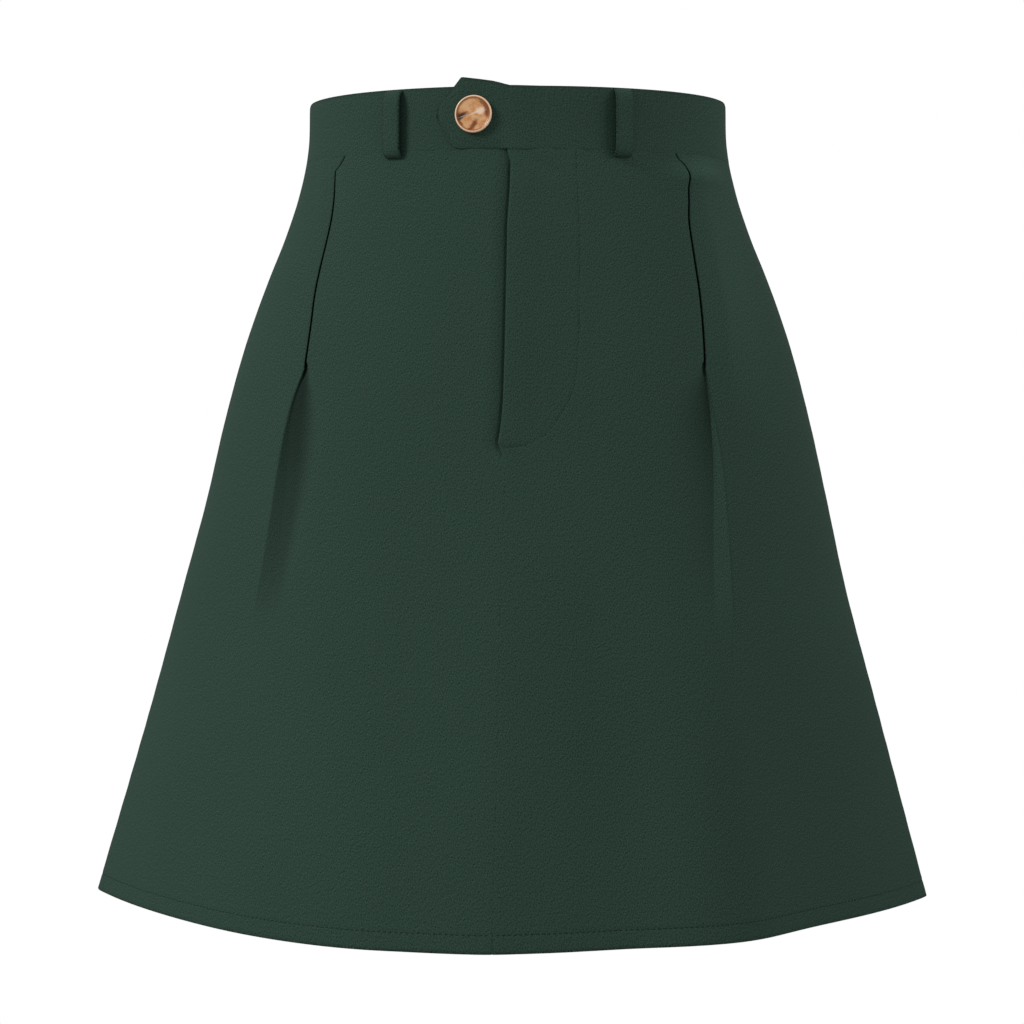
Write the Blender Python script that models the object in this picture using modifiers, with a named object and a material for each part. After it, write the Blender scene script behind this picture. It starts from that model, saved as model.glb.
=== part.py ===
"""An A-line skort: a skirt with a tab waistband, a lapped fly, belt loops and two
stitched-down front pleats, over plain shorts.

Frame: metres, +Z up. The origin is the centre of the waist, half way up the waistband
at the sides. The front faces -Y, and left and right are as seen from the front.
Sizes below are in millimetres and become metres where a mesh is made.

A course is a line round the skirt, level but for the dip of the waist, and is named by
its height at the side seams. A place on it is a signed length from the centre front,
positive to the right, and a distance out from the cloth's surface.
"""

import math
from collections import namedtuple

import bmesh
import bpy
import numpy as np

MM = 0.001
OBJECT_NAME = "Skort"
LEFT, RIGHT = -1, 1
FRONT, BACK = 1, -1

# Cloth
GAP = 0.3  # between two pieces that meet
SEAM = GAP / 2  # each panel stops this short of its seam line
CLOTH = 1.3
BAND_CLOTH = 2.0
SHORT_CLOTH = 1.0
HEM_FOLD = 11.0  # depth of the turned-up hem

# Waist and hem, as heights
BAND_HEIGHT = 37.0
SEAM_SIDE = -18.5  # waist seam at the side seams
FRONT_DIP = 6.0  # the waist is this much lower at the centre front
BACK_RISE = 1.5
HEM_SIDE = -468.5
HEM_DIP = 1.4
CENTRE_TURN = math.radians(1.5)  # the centre front has turned this far to the left

# The skirt's form, by course. A section is |x/half_width|**power + (y/depth)**(1/corner) = 1:
# an ellipse at the waist, pointed at the side seams by the hem. sway moves it sideways.
Form = namedtuple("Form", "height half_width front back power corner sway")
FORM = (
    Form(19.5, 128.4, 97.0, 97.0, 2.00, 0.50, 0.0),
    Form(-9.0, 129.1, 97.0, 97.3, 2.00, 0.50, 0.0),
    Form(-18.0, 130.5, 97.6, 98.4, 2.00, 0.50, 0.0),
    Form(-40.0, 135.6, 101.0, 103.5, 2.00, 0.50, 0.0),
    Form(-65.0, 143.9, 104.5, 110.0, 2.00, 0.50, 0.0),
    Form(-90.0, 154.0, 108.0, 118.0, 2.00, 0.51, 0.0),
    Form(-127.0, 167.2, 114.0, 127.0, 2.05, 0.53, -0.2),
    Form(-176.5, 180.9, 122.0, 137.0, 2.15, 0.58, -0.6),
    Form(-226.0, 192.3, 131.0, 144.0, 2.25, 0.66, -1.0),
    Form(-276.0, 204.6, 141.0, 150.0, 2.32, 0.74, -2.5),
    Form(-345.0, 223.2, 155.5, 161.5, 2.37, 0.83, -2.9),
    Form(-469.0, 256.8, 182.0, 184.0, 2.45, 1.00, -5.0),
)

# Soft upright folds of the lower skirt. across is x over the half width, size is how
# far the cloth stands out (or in) at the hem, and start is the height where it begins.
Fold = namedtuple("Fold", "face across width size start")
FOLDS = (
    Fold(FRONT, -0.76, 0.14, -3.0, -190.0),
    Fold(FRONT, -0.27, 0.20, 3.6, -220.0),
    Fold(FRONT, -0.06, 0.09, 1.6, -250.0),
    Fold(FRONT, 0.13, 0.09, -1.6, -240.0),
    Fold(FRONT, 0.38, 0.13, 1.4, -220.0),
    Fold(FRONT, 0.72, 0.20, -6.0, -200.0),
    Fold(BACK, -0.62, 0.15, 3.2, -190.0),
    Fold(BACK, -0.33, 0.12, -2.8, -230.0),
    Fold(BACK, 0.02, 0.12, 3.0, -210.0),
    Fold(BACK, 0.33, 0.13, -3.0, -240.0),
    Fold(BACK, 0.64, 0.15, 3.2, -200.0),
)

# The front pleats. left and right are the fold's distance from the centre front, depth
# is the tuck's, valley is how far its inner crease lies from the fold, and run is the
# width over which the front dips to that crease.
Pleat = namedtuple("Pleat", "height left right depth valley run")
PLEATS = (
    Pleat(-18.0, 100.5, 95.7, 1.2, 2.0, 1.0),
    Pleat(-24.0, 105.0, 100.0, 2.0, 2.0, 1.0),
    Pleat(-45.0, 108.7, 104.3, 4.5, 2.0, 1.0),
    Pleat(-100.0, 116.0, 109.5, 6.5, 2.0, 1.0),
    Pleat(-148.0, 119.3, 113.2, 7.5, 2.2, 1.6),
    Pleat(-164.0, 124.0, 117.0, 8.5, 2.8, 6.0),
    Pleat(-195.0, 131.2, 123.7, 8.0, 5.5, 18.0),
    Pleat(-243.0, 139.0, 128.7, 5.5, 10.0, 26.0),
    Pleat(-299.0, 146.0, 133.4, 0.0, 13.0, 30.0),
    Pleat(-470.0, 178.0, 163.0, 0.0, 14.0, 32.0),
)
# The tuck's outline. A point lies at -(valley_share*valley + run_share*run) + beyond
# from the fold, and depth_share*depth inside the surface.
Tuck = namedtuple("Tuck", "valley_share run_share beyond depth_share")
TUCK = (
    Tuck(1.00, 1.00, -2.5, 0.00),
    Tuck(1.00, 1.00, 0.0, 0.04),
    Tuck(1.00, 0.55, 0.0, 0.36),
    Tuck(1.00, 0.12, 0.0, 0.86),
    Tuck(1.00, 0.00, 0.0, 1.00),
    Tuck(0.70, 0.00, 0.0, 0.75),
    Tuck(0.35, 0.00, 0.0, 0.38),
    Tuck(0.00, 0.00, 0.0, 0.00),
    Tuck(0.00, 0.00, 3.0, 0.00),
)

# The fly. edge is where the right front ends, from the centre front. It laps over the
# left front where edge is below zero, and lift is how far it stands off there.
Fly = namedtuple("Fly", "height edge lift")
FLY = (
    Fly(-18.0, -1.4, 1.8),
    Fly(-26.0, 1.2, 1.8),
    Fly(-40.0, 1.0, 1.8),
    Fly(-63.0, -0.5, 1.8),
    Fly(-136.0, -1.0, 1.8),
    Fly(-166.0, -1.3, 1.8),
    Fly(-183.0, -2.3, 1.9),
    Fly(-195.0, -3.8, 2.1),
    Fly(-200.0, SEAM, 2.1),
    Fly(-216.0, SEAM, 0.7),
    Fly(-235.0, SEAM, 0.0),
    Fly(-470.0, SEAM, 0.0),
)
LIFT_RUN = 22.0  # width over which the right front comes back to the surface
# The zip and the shield behind the fly: from and to where they reach across, measured
# from the centre front, how far behind the surface they lie, and where they end
Strip = namedtuple("Strip", "left right depth cloth end")
ZIP = Strip(-9.0, 14.0, 1.9, 0.9, -200.0)
SHIELD = Strip(-12.0, 36.0, 3.2, 1.0, -210.0)

# The tab of the waistband: its outline as heights at distances left of the centre front
Tab = namedtuple("Tab", "reach top bottom")
TAB = (
    Tab(0.0, 12.5, -24.2),
    Tab(12.0, 14.0, -23.8),
    Tab(20.0, 15.8, -23.2),
    Tab(27.5, 17.3, -22.4),
    Tab(31.6, 13.2, -21.6),
    Tab(37.0, 7.5, -9.5),
    Tab(42.0, 2.3, 1.1),
)
TAB_GAP = 0.4  # between the tab and the band under it
TAB_RUN = 20.0  # the band rises to the tab over this length
# Rows of the band, as rise above the waist seam and how far its edges are rounded off
BandRow = namedtuple("BandRow", "rise chamfer")
BAND_ROWS = (
    BandRow(GAP, 0.5),
    BandRow(1.3, 0.0),
    BandRow(18.5, 0.0),
    BandRow(35.8, 0.0),
    BandRow(BAND_HEIGHT, 0.5),
)

# Button: its centre, and its profile from the middle of its face round to its back
BUTTON_REACH, BUTTON_HEIGHT = 21.1, -4.4
BUTTON_GAP = 0.45  # between its shank and the tab
BUTTON_PROFILE = (
    (0.0, 2.6),
    (2.8, 2.5),
    (5.6, 2.25),
    (8.0, 1.9),
    (8.8, 2.05),
    (9.5, 2.65),
    (10.3, 2.75),
    (10.9, 2.3),
    (11.1, 1.6),
    (10.7, 0.8),
    (9.6, 0.2),
    (7.4, 0.0),
    (3.0, 0.0),
    (2.6, -0.5),
    (2.6, -1.2),
    (0.0, -1.2),
)
BUTTON_SIDES = 28

# Belt loops: a strap from its top end to its bottom end, as course and distance out
LOOP_WIDTH, LOOP_CLOTH = 12.8, 1.6
LOOP_PATH = (
    (15.1, 0.35),
    (14.7, 3.4),
    (13.2, 4.9),
    (9.8, 5.3),
    (-3.0, 5.4),
    (-15.8, 5.3),
    (-19.2, 4.9),
    (-20.7, 3.4),
    (-21.1, 0.45),
)
LOOP_PLACES = {
    "loop_front_left": -71.5,
    "loop_front_right": 68.0,
    "loop_back_left": -265.0,
    "loop_back_right": 265.0,
}

# Shorts. ease is how far inside the skirt they lie, above the legs.
Ease = namedtuple("Ease", "height ease")
EASE = (
    Ease(-11.0, 2.4),
    Ease(-18.5, 5.0),
    Ease(-26.0, 6.4),
    Ease(-45.0, 8.6),
    Ease(-60.0, 10.0),
    Ease(-100.0, 12.5),
    Ease(-150.0, 16.0),
    Ease(-246.0, 24.0),
)
SHORT_TOP = -11.5  # they start here, behind the waistband
SHORT_CROTCH = -246.0
SHORT_LEG_START = -140.0  # the sections turn from a hip into legs below this
SHORT_LEG_POWER = 2.2
SHORT_HEM = -335.0
SHORT_HEM_FOLD = 12.0
Leg = namedtuple("Leg", "height inside outside front back")
LEGS = (
    Leg(SHORT_CROTCH, 1.0, 172.0, 88.0, 98.0),
    Leg(SHORT_HEM, 12.0, 177.0, 87.0, 93.0),
)

# How finely each piece is cut
COURSE_POINTS = 361
MIDDLE = COURSE_POINTS // 2  # the centre front
FRONT_COLUMNS, SIDE_COLUMNS, BACK_COLUMNS = 8, 7, 13
SKIRT_ROWS = (
    SEAM_SIDE,
    -28.0,
    -40.0,
    -57.0,
    -77.0,
    -100.0,
    -124.0,
    -145.0,
    -155.0,
    -164.0,
    -180.0,
    -195.0,
    -200.0,
    -216.0,
    -240.0,
    -266.0,
    -300.0,
    -345.0,
    -400.0,
    HEM_SIDE + HEM_FOLD + 0.6,
    HEM_SIDE + HEM_FOLD,
    HEM_SIDE,
)
BACK_ROWS = tuple(level for level in SKIRT_ROWS if level not in (-155.0, -195.0, -200.0))
SHORT_ROWS = (
    SHORT_TOP,
    -18.5,
    -27.0,
    -50.0,
    -85.0,
    -120.0,
    -148.0,
    -172.0,
    -192.0,
    -210.0,
    -226.0,
    -238.0,
    SHORT_CROTCH,
    -262.0,
    -295.0,
    SHORT_HEM + SHORT_HEM_FOLD + 0.6,
    SHORT_HEM + SHORT_HEM_FOLD,
    SHORT_HEM,
)
SHORT_COLUMNS = 11
BAND_COLUMNS, RAMP_COLUMNS = 24, 4
STRIP_COLUMNS, STRIP_ROWS = 6, 9

GREEN = (0.030, 0.062, 0.046)
INNER_GREEN = (0.026, 0.052, 0.040)
HORN = (0.45, 0.25, 0.12)
ZIP_COLOUR = (0.020, 0.040, 0.030)

Course = namedtuple("Course", "x y z out_x out_y length")


def smooth(share):
    """0 to 1 with no corner at either end."""
    share = np.clip(share, 0.0, 1.0)
    return share * share * (3.0 - 2.0 * share)


def read(table, column, height):
    """A column's value at a height, on a smooth cubic curve through the table's rows."""
    heights = np.array([row.height for row in table][::-1])
    values = np.array([getattr(row, column) for row in table][::-1])
    slopes = np.gradient(values, heights)
    height = np.clip(height, heights[0], heights[-1])
    row = np.clip(np.searchsorted(heights, height) - 1, 0, len(heights) - 2)
    step = heights[row + 1] - heights[row]
    t = (height - heights[row]) / step
    return (
        (1 + 2 * t) * (1 - t) ** 2 * values[row]
        + t * (1 - t) ** 2 * step * slopes[row]
        + t**2 * (3 - 2 * t) * values[row + 1]
        + t**2 * (t - 1) * step * slopes[row + 1]
    )


def straight(table, column, height):
    """A column's value at a height, on straight lines between the table's rows."""
    heights = [row.height for row in table][::-1]
    return np.interp(height, heights, [getattr(row, column) for row in table][::-1])


def seam_height(facing):
    """Height of the waist seam. facing is 1 at the centre front and -1 at the centre back."""
    return SEAM_SIDE - FRONT_DIP * np.maximum(facing, 0) + BACK_RISE * np.maximum(-facing, 0)


def hem_height(facing):
    return HEM_SIDE - HEM_DIP * np.maximum(facing, 0)


def relief(across, facing, height):
    """How far the soft folds move the cloth out. They fade to nothing at the side seams."""
    out = np.zeros_like(across)
    for fold in FOLDS:
        grown = smooth((fold.start - height) / (fold.start - HEM_SIDE))
        hump = np.exp(-(((across - fold.across) / fold.width) ** 2))
        out += np.where(facing * fold.face > 0, fold.size * grown * hump, 0.0)
    return out * (1 - across**8)


def course(level):
    """The line round the skirt that has this height at the side seams."""
    angle = np.linspace(-math.pi, math.pi, COURSE_POINTS)
    across, facing = np.sin(angle), np.cos(angle)
    seam = seam_height(facing)
    fall = max(0.0, (level - SEAM_SIDE) / (HEM_SIDE - SEAM_SIDE))
    z = seam + max(0.0, level - SEAM_SIDE) + fall * (hem_height(facing) - seam)
    depth = np.where(facing > 0, read(FORM, "front", level), read(FORM, "back", level))
    inside = np.clip(1 - np.abs(across) ** read(FORM, "power", level), 0, 1)
    x = read(FORM, "half_width", level) * across + read(FORM, "sway", level)
    y = -np.sign(facing) * depth * inside ** read(FORM, "corner", level)
    step_x = np.append(x, x[1])[1:] - np.append(x[-2], x)[:-1]
    step_y = np.append(y, y[1])[1:] - np.append(y[-2], y)[:-1]
    size = np.hypot(step_x, step_y)
    out_x, out_y = step_y / size, -step_x / size
    out = relief(across, facing, z)
    x, y = x + out_x * out, y + out_y * out
    length = np.append(0, np.cumsum(np.hypot(np.diff(x), np.diff(y))))
    centre = length[MIDDLE] - CENTRE_TURN * read(FORM, "front", level)
    return Course(x, y, z, out_x, out_y, length - centre)


def place(line, lengths, out=0.0):
    """Points at signed lengths along a course, moved out from the surface."""
    x, y, z, out_x, out_y = (np.interp(lengths, line.length, column) for column in line[:5])
    size = np.hypot(out_x, out_y)
    return np.stack([x + out * out_x / size, y + out * out_y / size, z], axis=1)


def side_seam(line, side):
    """Length from the centre front to the side seam."""
    return abs(line.length[MIDDLE + side * MIDDLE // 2])


def centre_back(line, side):
    """Length from the centre front to the centre back."""
    return abs(line.length[-1 if side == RIGHT else 0])


def inner_edge(points, thickness, first, last):
    """A course moved in by the cloth's thickness, mitred at each corner.

    first and last are the directions in which its two end points move.
    """
    step = np.diff(points[:, :2], axis=0)
    step /= np.linalg.norm(step, axis=1)[:, None]
    inward = np.stack([-step[:, 1], step[:, 0]], axis=1)
    middle = inward[:-1] + inward[1:]
    middle /= np.linalg.norm(middle, axis=1)[:, None]
    ways = np.vstack([first, middle, last])
    sides = np.vstack([inward[0], inward[1:], inward[-1]])
    reach = thickness / np.maximum((ways * sides).sum(axis=1), 0.4)
    moved = points.copy()
    moved[:, :2] += ways * reach[:, None]
    return moved


def material(name, colour, roughness):
    made = bpy.data.materials.new(name)
    made.use_nodes = True
    shader = made.node_tree.nodes["Principled BSDF"]
    shader.inputs["Base Color"].default_value = (*colour, 1.0)
    shader.inputs["Roughness"].default_value = roughness
    return made


def keep(name, mesh, finish, collection):
    """Puts a mesh in the collection as a named, smooth-shaded object."""
    mesh.materials.append(finish)
    mesh.shade_smooth()
    mesh.set_sharp_from_angle(angle=math.radians(40))
    made = bpy.data.objects.new(name, mesh)
    collection.objects.link(made)
    return made


def wall(name, outer, inner, finish, collection):
    """A closed wall between two grids of points, (rows, columns, 3) in millimetres."""
    rows, columns, _ = outer.shape
    points = np.concatenate([outer.reshape(-1, 3), inner.reshape(-1, 3)]) * MM
    index = np.arange(rows * columns).reshape(rows, columns)
    face = np.stack([index[:-1, :-1], index[:-1, 1:], index[1:, 1:], index[1:, :-1]], axis=-1)
    edge = np.concatenate([index[0], index[1:, -1], index[-1, -2::-1], index[-2:0:-1, 0]])
    after = np.roll(edge, -1)
    back = index.size
    rim = np.stack([edge, edge + back, after + back, after], axis=-1)
    faces = np.concatenate([face.reshape(-1, 4)[:, ::-1], face.reshape(-1, 4) + back, rim])
    mesh = bpy.data.meshes.new(name)
    mesh.from_pydata(points.tolist(), [], faces.tolist())
    shape = bmesh.new()
    shape.from_mesh(mesh)
    bmesh.ops.recalc_face_normals(shape, faces=shape.faces[:])
    shape.to_mesh(mesh)
    shape.free()
    return keep(name, mesh, finish, collection)


def thickness_at(level):
    """The skirt cloth is double in its hem."""
    return CLOTH * (2 if level <= HEM_SIDE + HEM_FOLD else 1)


def cloth_inside(points, thickness, side, first, last):
    """The inner points of a course that runs away from the centre front on either side."""
    if side == RIGHT:
        return inner_edge(points, thickness, first, last)
    return inner_edge(points[::-1], thickness, last, first)[::-1]


def fold_length(line, level, side):
    """Length from the centre front to the pleat's fold."""
    front = slice(MIDDLE, MIDDLE + side * (MIDDLE // 2 + 1), side)
    across = side * (line.x[front] - np.interp(0, line.length, line.x))
    fold_x = read(PLEATS, "left" if side == LEFT else "right", level)
    return np.interp(fold_x, across, side * line.length[front])


def front_row(level, side):
    """Outer and inner points of a front's course, from the centre to the side seam."""
    line = course(level)
    fold = fold_length(line, level, side)
    depth = max(0.0, read(PLEATS, "depth", level))
    valley, run = (straight(PLEATS, column, level) for column in ("valley", "run"))
    tuck = np.array([t.beyond - t.valley_share * valley - t.run_share * run for t in TUCK])
    edge = straight(FLY, "edge", level) if side == RIGHT else SEAM
    seam = side_seam(line, side) - SEAM
    to_tuck = np.linspace(edge, fold + tuck[0], FRONT_COLUMNS + 1)[:-1]
    to_seam = np.linspace(fold + tuck[-1], seam, SIDE_COLUMNS + 1)[1:]
    lengths = np.concatenate([to_tuck, fold + tuck, to_seam])
    out = np.zeros(len(lengths))
    out[FRONT_COLUMNS : FRONT_COLUMNS + len(TUCK)] = [-t.depth_share * depth for t in TUCK]
    if side == RIGHT:
        out += straight(FLY, "lift", level) * smooth(1 - (lengths - edge) / LIFT_RUN)
    points = place(line, side * lengths, out)
    return points, cloth_inside(points, thickness_at(level), side, (0.0, 1.0), (-side, 0.0))


def back_row(level):
    """Outer and inner points of the back's course, from the right seam to the left one."""
    line = course(level)
    halves = []
    for side in (RIGHT, LEFT):
        lengths = np.linspace(side_seam(line, side) + SEAM, centre_back(line, side), BACK_COLUMNS)
        halves.append(place(line, side * lengths))
    points = np.concatenate([halves[0], halves[1][-2::-1]])
    return points, inner_edge(points, thickness_at(level), (-1.0, 0.0), (1.0, 0.0))


def build_panel(name, rows, finish, collection):
    """A skirt panel from its courses. Its top edge stays clear of the waist seam."""
    outer, inner = (np.array(grid) for grid in zip(*rows))
    outer[0, :, 2] -= SEAM
    inner[0, :, 2] -= SEAM
    wall(name, outer, inner, finish, collection)


def band_lengths(line, side):
    """Columns of a waistband half: from the tab's tip or the centre front to the centre back."""
    end = centre_back(line, side) - SEAM
    if side == LEFT:
        return np.linspace(SEAM, end, BAND_COLUMNS)
    tab = [-tab.reach for tab in TAB][::-1]
    ramp = np.linspace(0, TAB_RUN, RAMP_COLUMNS + 1)[1:]
    return np.concatenate([tab, ramp, np.linspace(TAB_RUN, end, BAND_COLUMNS - 2)[1:]])


def build_band(side, finish, collection):
    """Half of the waistband. The right half runs on as the tab, which lies over the left one."""
    lengths = band_lengths(course(0.0), side)
    lift = (BAND_CLOTH + TAB_GAP) * smooth(1 - lengths / TAB_RUN) if side == RIGHT else 0.0
    reaches = [tab.reach for tab in TAB]
    outer, inner = [], []
    for row in BAND_ROWS:
        line = course(SEAM_SIDE + row.rise)
        points = place(line, side * lengths, lift - row.chamfer)
        cloth = BAND_CLOTH - 2 * row.chamfer
        inside = cloth_inside(points, cloth, side, (0.0, 1.0), (0.0, -1.0))
        if side == RIGHT:
            share = (row.rise - GAP) / (BAND_HEIGHT - GAP)
            top, bottom = (
                np.interp(-lengths, reaches, [getattr(tab, column) for tab in TAB])
                for column in ("top", "bottom")
            )
            height = np.where(lengths < 0, bottom + share * (top - bottom), points[:, 2])
            points[:, 2] = inside[:, 2] = height
        outer.append(points)
        inner.append(inside)
    name = "waistband_left" if side == LEFT else "waistband_right"
    wall(name, np.array(outer), np.array(inner), finish, collection)


def build_strip(name, strip, finish, collection):
    """A flat strip behind the fly, from the waist seam down."""
    lengths = np.linspace(strip.left, strip.right, STRIP_COLUMNS)
    lines = [course(level) for level in np.linspace(SEAM_SIDE - GAP, strip.end, STRIP_ROWS)]
    outer = np.array([place(line, lengths, -strip.depth) for line in lines])
    inner = np.array([place(line, lengths, -strip.depth - strip.cloth) for line in lines])
    wall(name, outer, inner, finish, collection)


def build_loop(name, length, finish, collection):
    """A belt loop: a strap that stands off the band, sewn to it at both ends."""
    over = np.array([(level, out, 0.0) for level, out in LOOP_PATH])
    under = inner_edge(over, LOOP_CLOTH, (-1.0, 0.0), (1.0, 0.0))
    across = length + LOOP_WIDTH * np.linspace(-0.5, 0.5, 3)
    outer, inner = (
        np.array([place(course(level), across, out) for level, out, _ in path])
        for path in (over, under)
    )
    wall(name, outer, inner, finish, collection)


def build_button(finish, collection):
    """A turned button with a raised rim and a short shank, on the tab."""
    mesh = bpy.data.meshes.new("button")
    points = [(radius * MM, 0.0, height * MM) for radius, height in BUTTON_PROFILE]
    mesh.from_pydata(points, [(i, i + 1) for i in range(len(points) - 1)], [])
    made = keep("button", mesh, finish, collection)
    turn = made.modifiers.new("Turn", "SCREW")
    turn.steps = turn.render_steps = BUTTON_SIDES
    turn.use_merge_vertices = True
    turn.merge_threshold = 0.00002
    line = course(0.0)
    out = BAND_CLOTH + TAB_GAP + BUTTON_GAP - BUTTON_PROFILE[-1][1]
    x, y, _ = place(line, np.array([-BUTTON_REACH]), out)[0]
    made.location = (x * MM, y * MM, BUTTON_HEIGHT * MM)
    facing = np.interp(-BUTTON_REACH, line.length, np.arctan2(line.out_x, -line.out_y))
    made.rotation_euler = (math.radians(90), 0.0, facing)


def short_row(level, face, side):
    """The outer points of a course of one quarter of the shorts, from its centre edge.

    Above the legs a section is the skirt's own, moved in. It turns into half an ellipse
    round one leg, so that its centre edge draws the curve of the crotch seam.
    """
    share = np.linspace(0, 1, SHORT_COLUMNS)
    line = course(level)
    centre = side * line.length[MIDDLE] if face == FRONT else centre_back(line, side)
    lengths = centre + (side_seam(line, side) - centre) * share
    hip = place(line, side * lengths, -read(EASE, "ease", level))
    hip[:, 0] -= read(FORM, "sway", level)
    inside, outside = (straight(LEGS, column, level) for column in ("inside", "outside"))
    depth = straight(LEGS, "front" if face == FRONT else "back", level)
    x = (inside + outside - (outside - inside) * np.cos(math.pi * share)) / 2
    leg = np.stack([side * x, -face * depth * np.sin(math.pi * share), hip[:, 2]], axis=1)
    turned = np.clip((SHORT_LEG_START - level) / (SHORT_LEG_START - SHORT_CROTCH), 0, 1)
    points = hip + (leg - hip) * turned**SHORT_LEG_POWER
    points[:, 0] = side * np.maximum(side * points[:, 0], SEAM)
    points[:, 1] = -face * np.maximum(-face * points[:, 1], SEAM)
    return points


def build_short_panel(face, side, finish, collection):
    outer = np.array([short_row(level, face, side) for level in SHORT_ROWS])
    down, along = np.gradient(outer, axis=0), np.gradient(outer, axis=1)
    inward = np.cross(along, down) * side * face
    on_centre = np.abs(outer[:, :, 0]) < SEAM * 1.01
    on_side = np.abs(outer[:, :, 1]) < SEAM * 1.01
    inward[on_centre, 0] = 0
    inward[on_side, 1] = 0
    inward[on_centre & on_side] = (0, 0, 1)
    inward[0, :, 2] = inward[-3:, :, 2] = 0
    inward /= np.linalg.norm(inward, axis=2)[:, :, None]
    thickness = np.full(len(outer), SHORT_CLOTH)
    thickness[-2:] *= 2
    inner = outer + inward * thickness[:, None, None]
    name = f"short_{'front' if face == FRONT else 'back'}_{'left' if side == LEFT else 'right'}"
    wall(name, outer, inner, finish, collection)


def main():
    for old in list(bpy.data.objects):
        bpy.data.objects.remove(old)
    collection = bpy.data.collections.new(OBJECT_NAME)
    bpy.context.scene.collection.children.link(collection)
    skirt_cloth = material("skirt cloth", GREEN, 0.85)
    short_cloth = material("shorts cloth", INNER_GREEN, 0.8)
    zip_tape = material("zip tape", ZIP_COLOUR, 0.7)
    horn = material("horn", HORN, 0.25)
    for side in (LEFT, RIGHT):
        name = "front_left" if side == LEFT else "front_right"
        rows = [front_row(level, side) for level in SKIRT_ROWS]
        build_panel(name, rows, skirt_cloth, collection)
        build_band(side, skirt_cloth, collection)
        for face in (FRONT, BACK):
            build_short_panel(face, side, short_cloth, collection)
    build_panel("back", [back_row(level) for level in BACK_ROWS], skirt_cloth, collection)
    build_strip("zip", ZIP, zip_tape, collection)
    build_strip("fly_shield", SHIELD, skirt_cloth, collection)
    for name, length in LOOP_PLACES.items():
        build_loop(name, length, skirt_cloth, collection)
    build_button(horn, collection)


main()
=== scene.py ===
"""Looks of an A-line skort: a skirt with a tab waistband, a lapped fly and two pleats.

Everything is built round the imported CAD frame. Sizes are in millimetres and become metres
where a mesh is made. +Z is up, the front faces -Y, and left and right are as seen from the
front. A course is a line round the skirt, named by its height at the side seams, and a
place on it is a signed length from the centre front, positive to the right.
"""

from __future__ import annotations

import logging
import math
from dataclasses import dataclass
from enum import Enum
from typing import Any

import bpy
import numpy as np
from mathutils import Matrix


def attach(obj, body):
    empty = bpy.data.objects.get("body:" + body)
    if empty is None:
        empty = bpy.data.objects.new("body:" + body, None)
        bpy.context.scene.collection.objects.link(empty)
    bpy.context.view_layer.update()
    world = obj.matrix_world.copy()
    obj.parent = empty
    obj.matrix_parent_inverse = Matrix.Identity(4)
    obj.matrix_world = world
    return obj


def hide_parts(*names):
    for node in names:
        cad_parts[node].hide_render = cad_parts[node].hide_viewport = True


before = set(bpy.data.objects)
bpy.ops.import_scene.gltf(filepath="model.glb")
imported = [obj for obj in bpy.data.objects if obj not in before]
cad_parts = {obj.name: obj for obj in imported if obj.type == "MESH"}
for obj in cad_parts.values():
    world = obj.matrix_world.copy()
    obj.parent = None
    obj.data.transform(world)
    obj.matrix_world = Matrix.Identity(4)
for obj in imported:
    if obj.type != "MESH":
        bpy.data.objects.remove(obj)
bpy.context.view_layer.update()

LOG = logging.getLogger("skort")
Array = np.ndarray
Colour = tuple[float, float, float]
Material = bpy.types.Material
Object = bpy.types.Object

MM = 0.001
BODY = "root"
CLOTH_MAP = "Cloth"  # UV map: metres along and up the cloth
PAINTED_SHADE = "shade"  # attribute: painted shade, how much darker the cloth is, 0 to 1; below 0, a painted highlight
COURSE_POINTS = 721
MIDDLE = COURSE_POINTS // 2
CURVE_STEPS = 24  # points on each piece of a rounded line

SEAM_SIDE, FRONT_DIP, BACK_RISE = -18.5, 6.0, 1.5  # the waist seam: sides, front, back
HEM_SIDE, HEM_DIP, HEM_TILT = -468.5, 1.4, 2.0  # the hem: sides, front, right side
CENTRE_TURN = math.radians(1.5)  # how far round the centre front is from the section's own
BAND_HEIGHT = 37.0
HEM_FOLD = 11.0
SEAM_GAP = 0.22  # from a seam to each cloth that meets in it
STITCH_RISE = 10.0  # a hem's stitches above its edge
PANEL_ROWS = 124
HEM_ROWS = (  # heights above the edge
    13.0, 12.0, 11.5, 11.0, 10.6, 10.2, 9.8, 9.4, 9.0, 8.4, 7.6, 6.4,
    5.0, 3.6, 2.6, 1.9, 1.4, 1.0,
)


class Side(Enum):
    """A half of the garment, as seen from the front."""

    LEFT = -1
    RIGHT = 1


class Face(Enum):
    """The front or the back of the garment."""

    FRONT = 1
    BACK = -1


# ---------------------------------------------------------------- sums


def smooth(share: Array | float) -> Array:
    """0 to 1 with no corner at either end: 3 t^2 - 2 t^3.

    Args:
        share: where along the step, cut off at 0 and 1.

    Returns:
        The smoothed share.
    """
    share = np.clip(share, 0.0, 1.0)
    return share * share * (3.0 - 2.0 * share)


def hump(distance: Array, width: Array | float) -> Array:
    """A bell: e to the power of -(distance / width)^2."""
    return np.exp(-((distance / width) ** 2))


def graded(count: int, near: float, far: float) -> Array:
    """Shares from 0 to 1 that lie closer together at the ends.

    Args:
        count: how many shares.
        near: how much closer they lie at 0, where 1 is even.
        far: the same at 1.

    Returns:
        The shares: the running sum of steps that shrink towards each end.
    """
    t = (np.arange(count - 1) + 0.5) / (count - 1)
    step = 1.0 / (1.0 + (near - 1.0) * (1 - t) ** 6 + (far - 1.0) * t**6)
    shares = np.append(0.0, np.cumsum(step))
    return shares / shares[-1]


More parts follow.
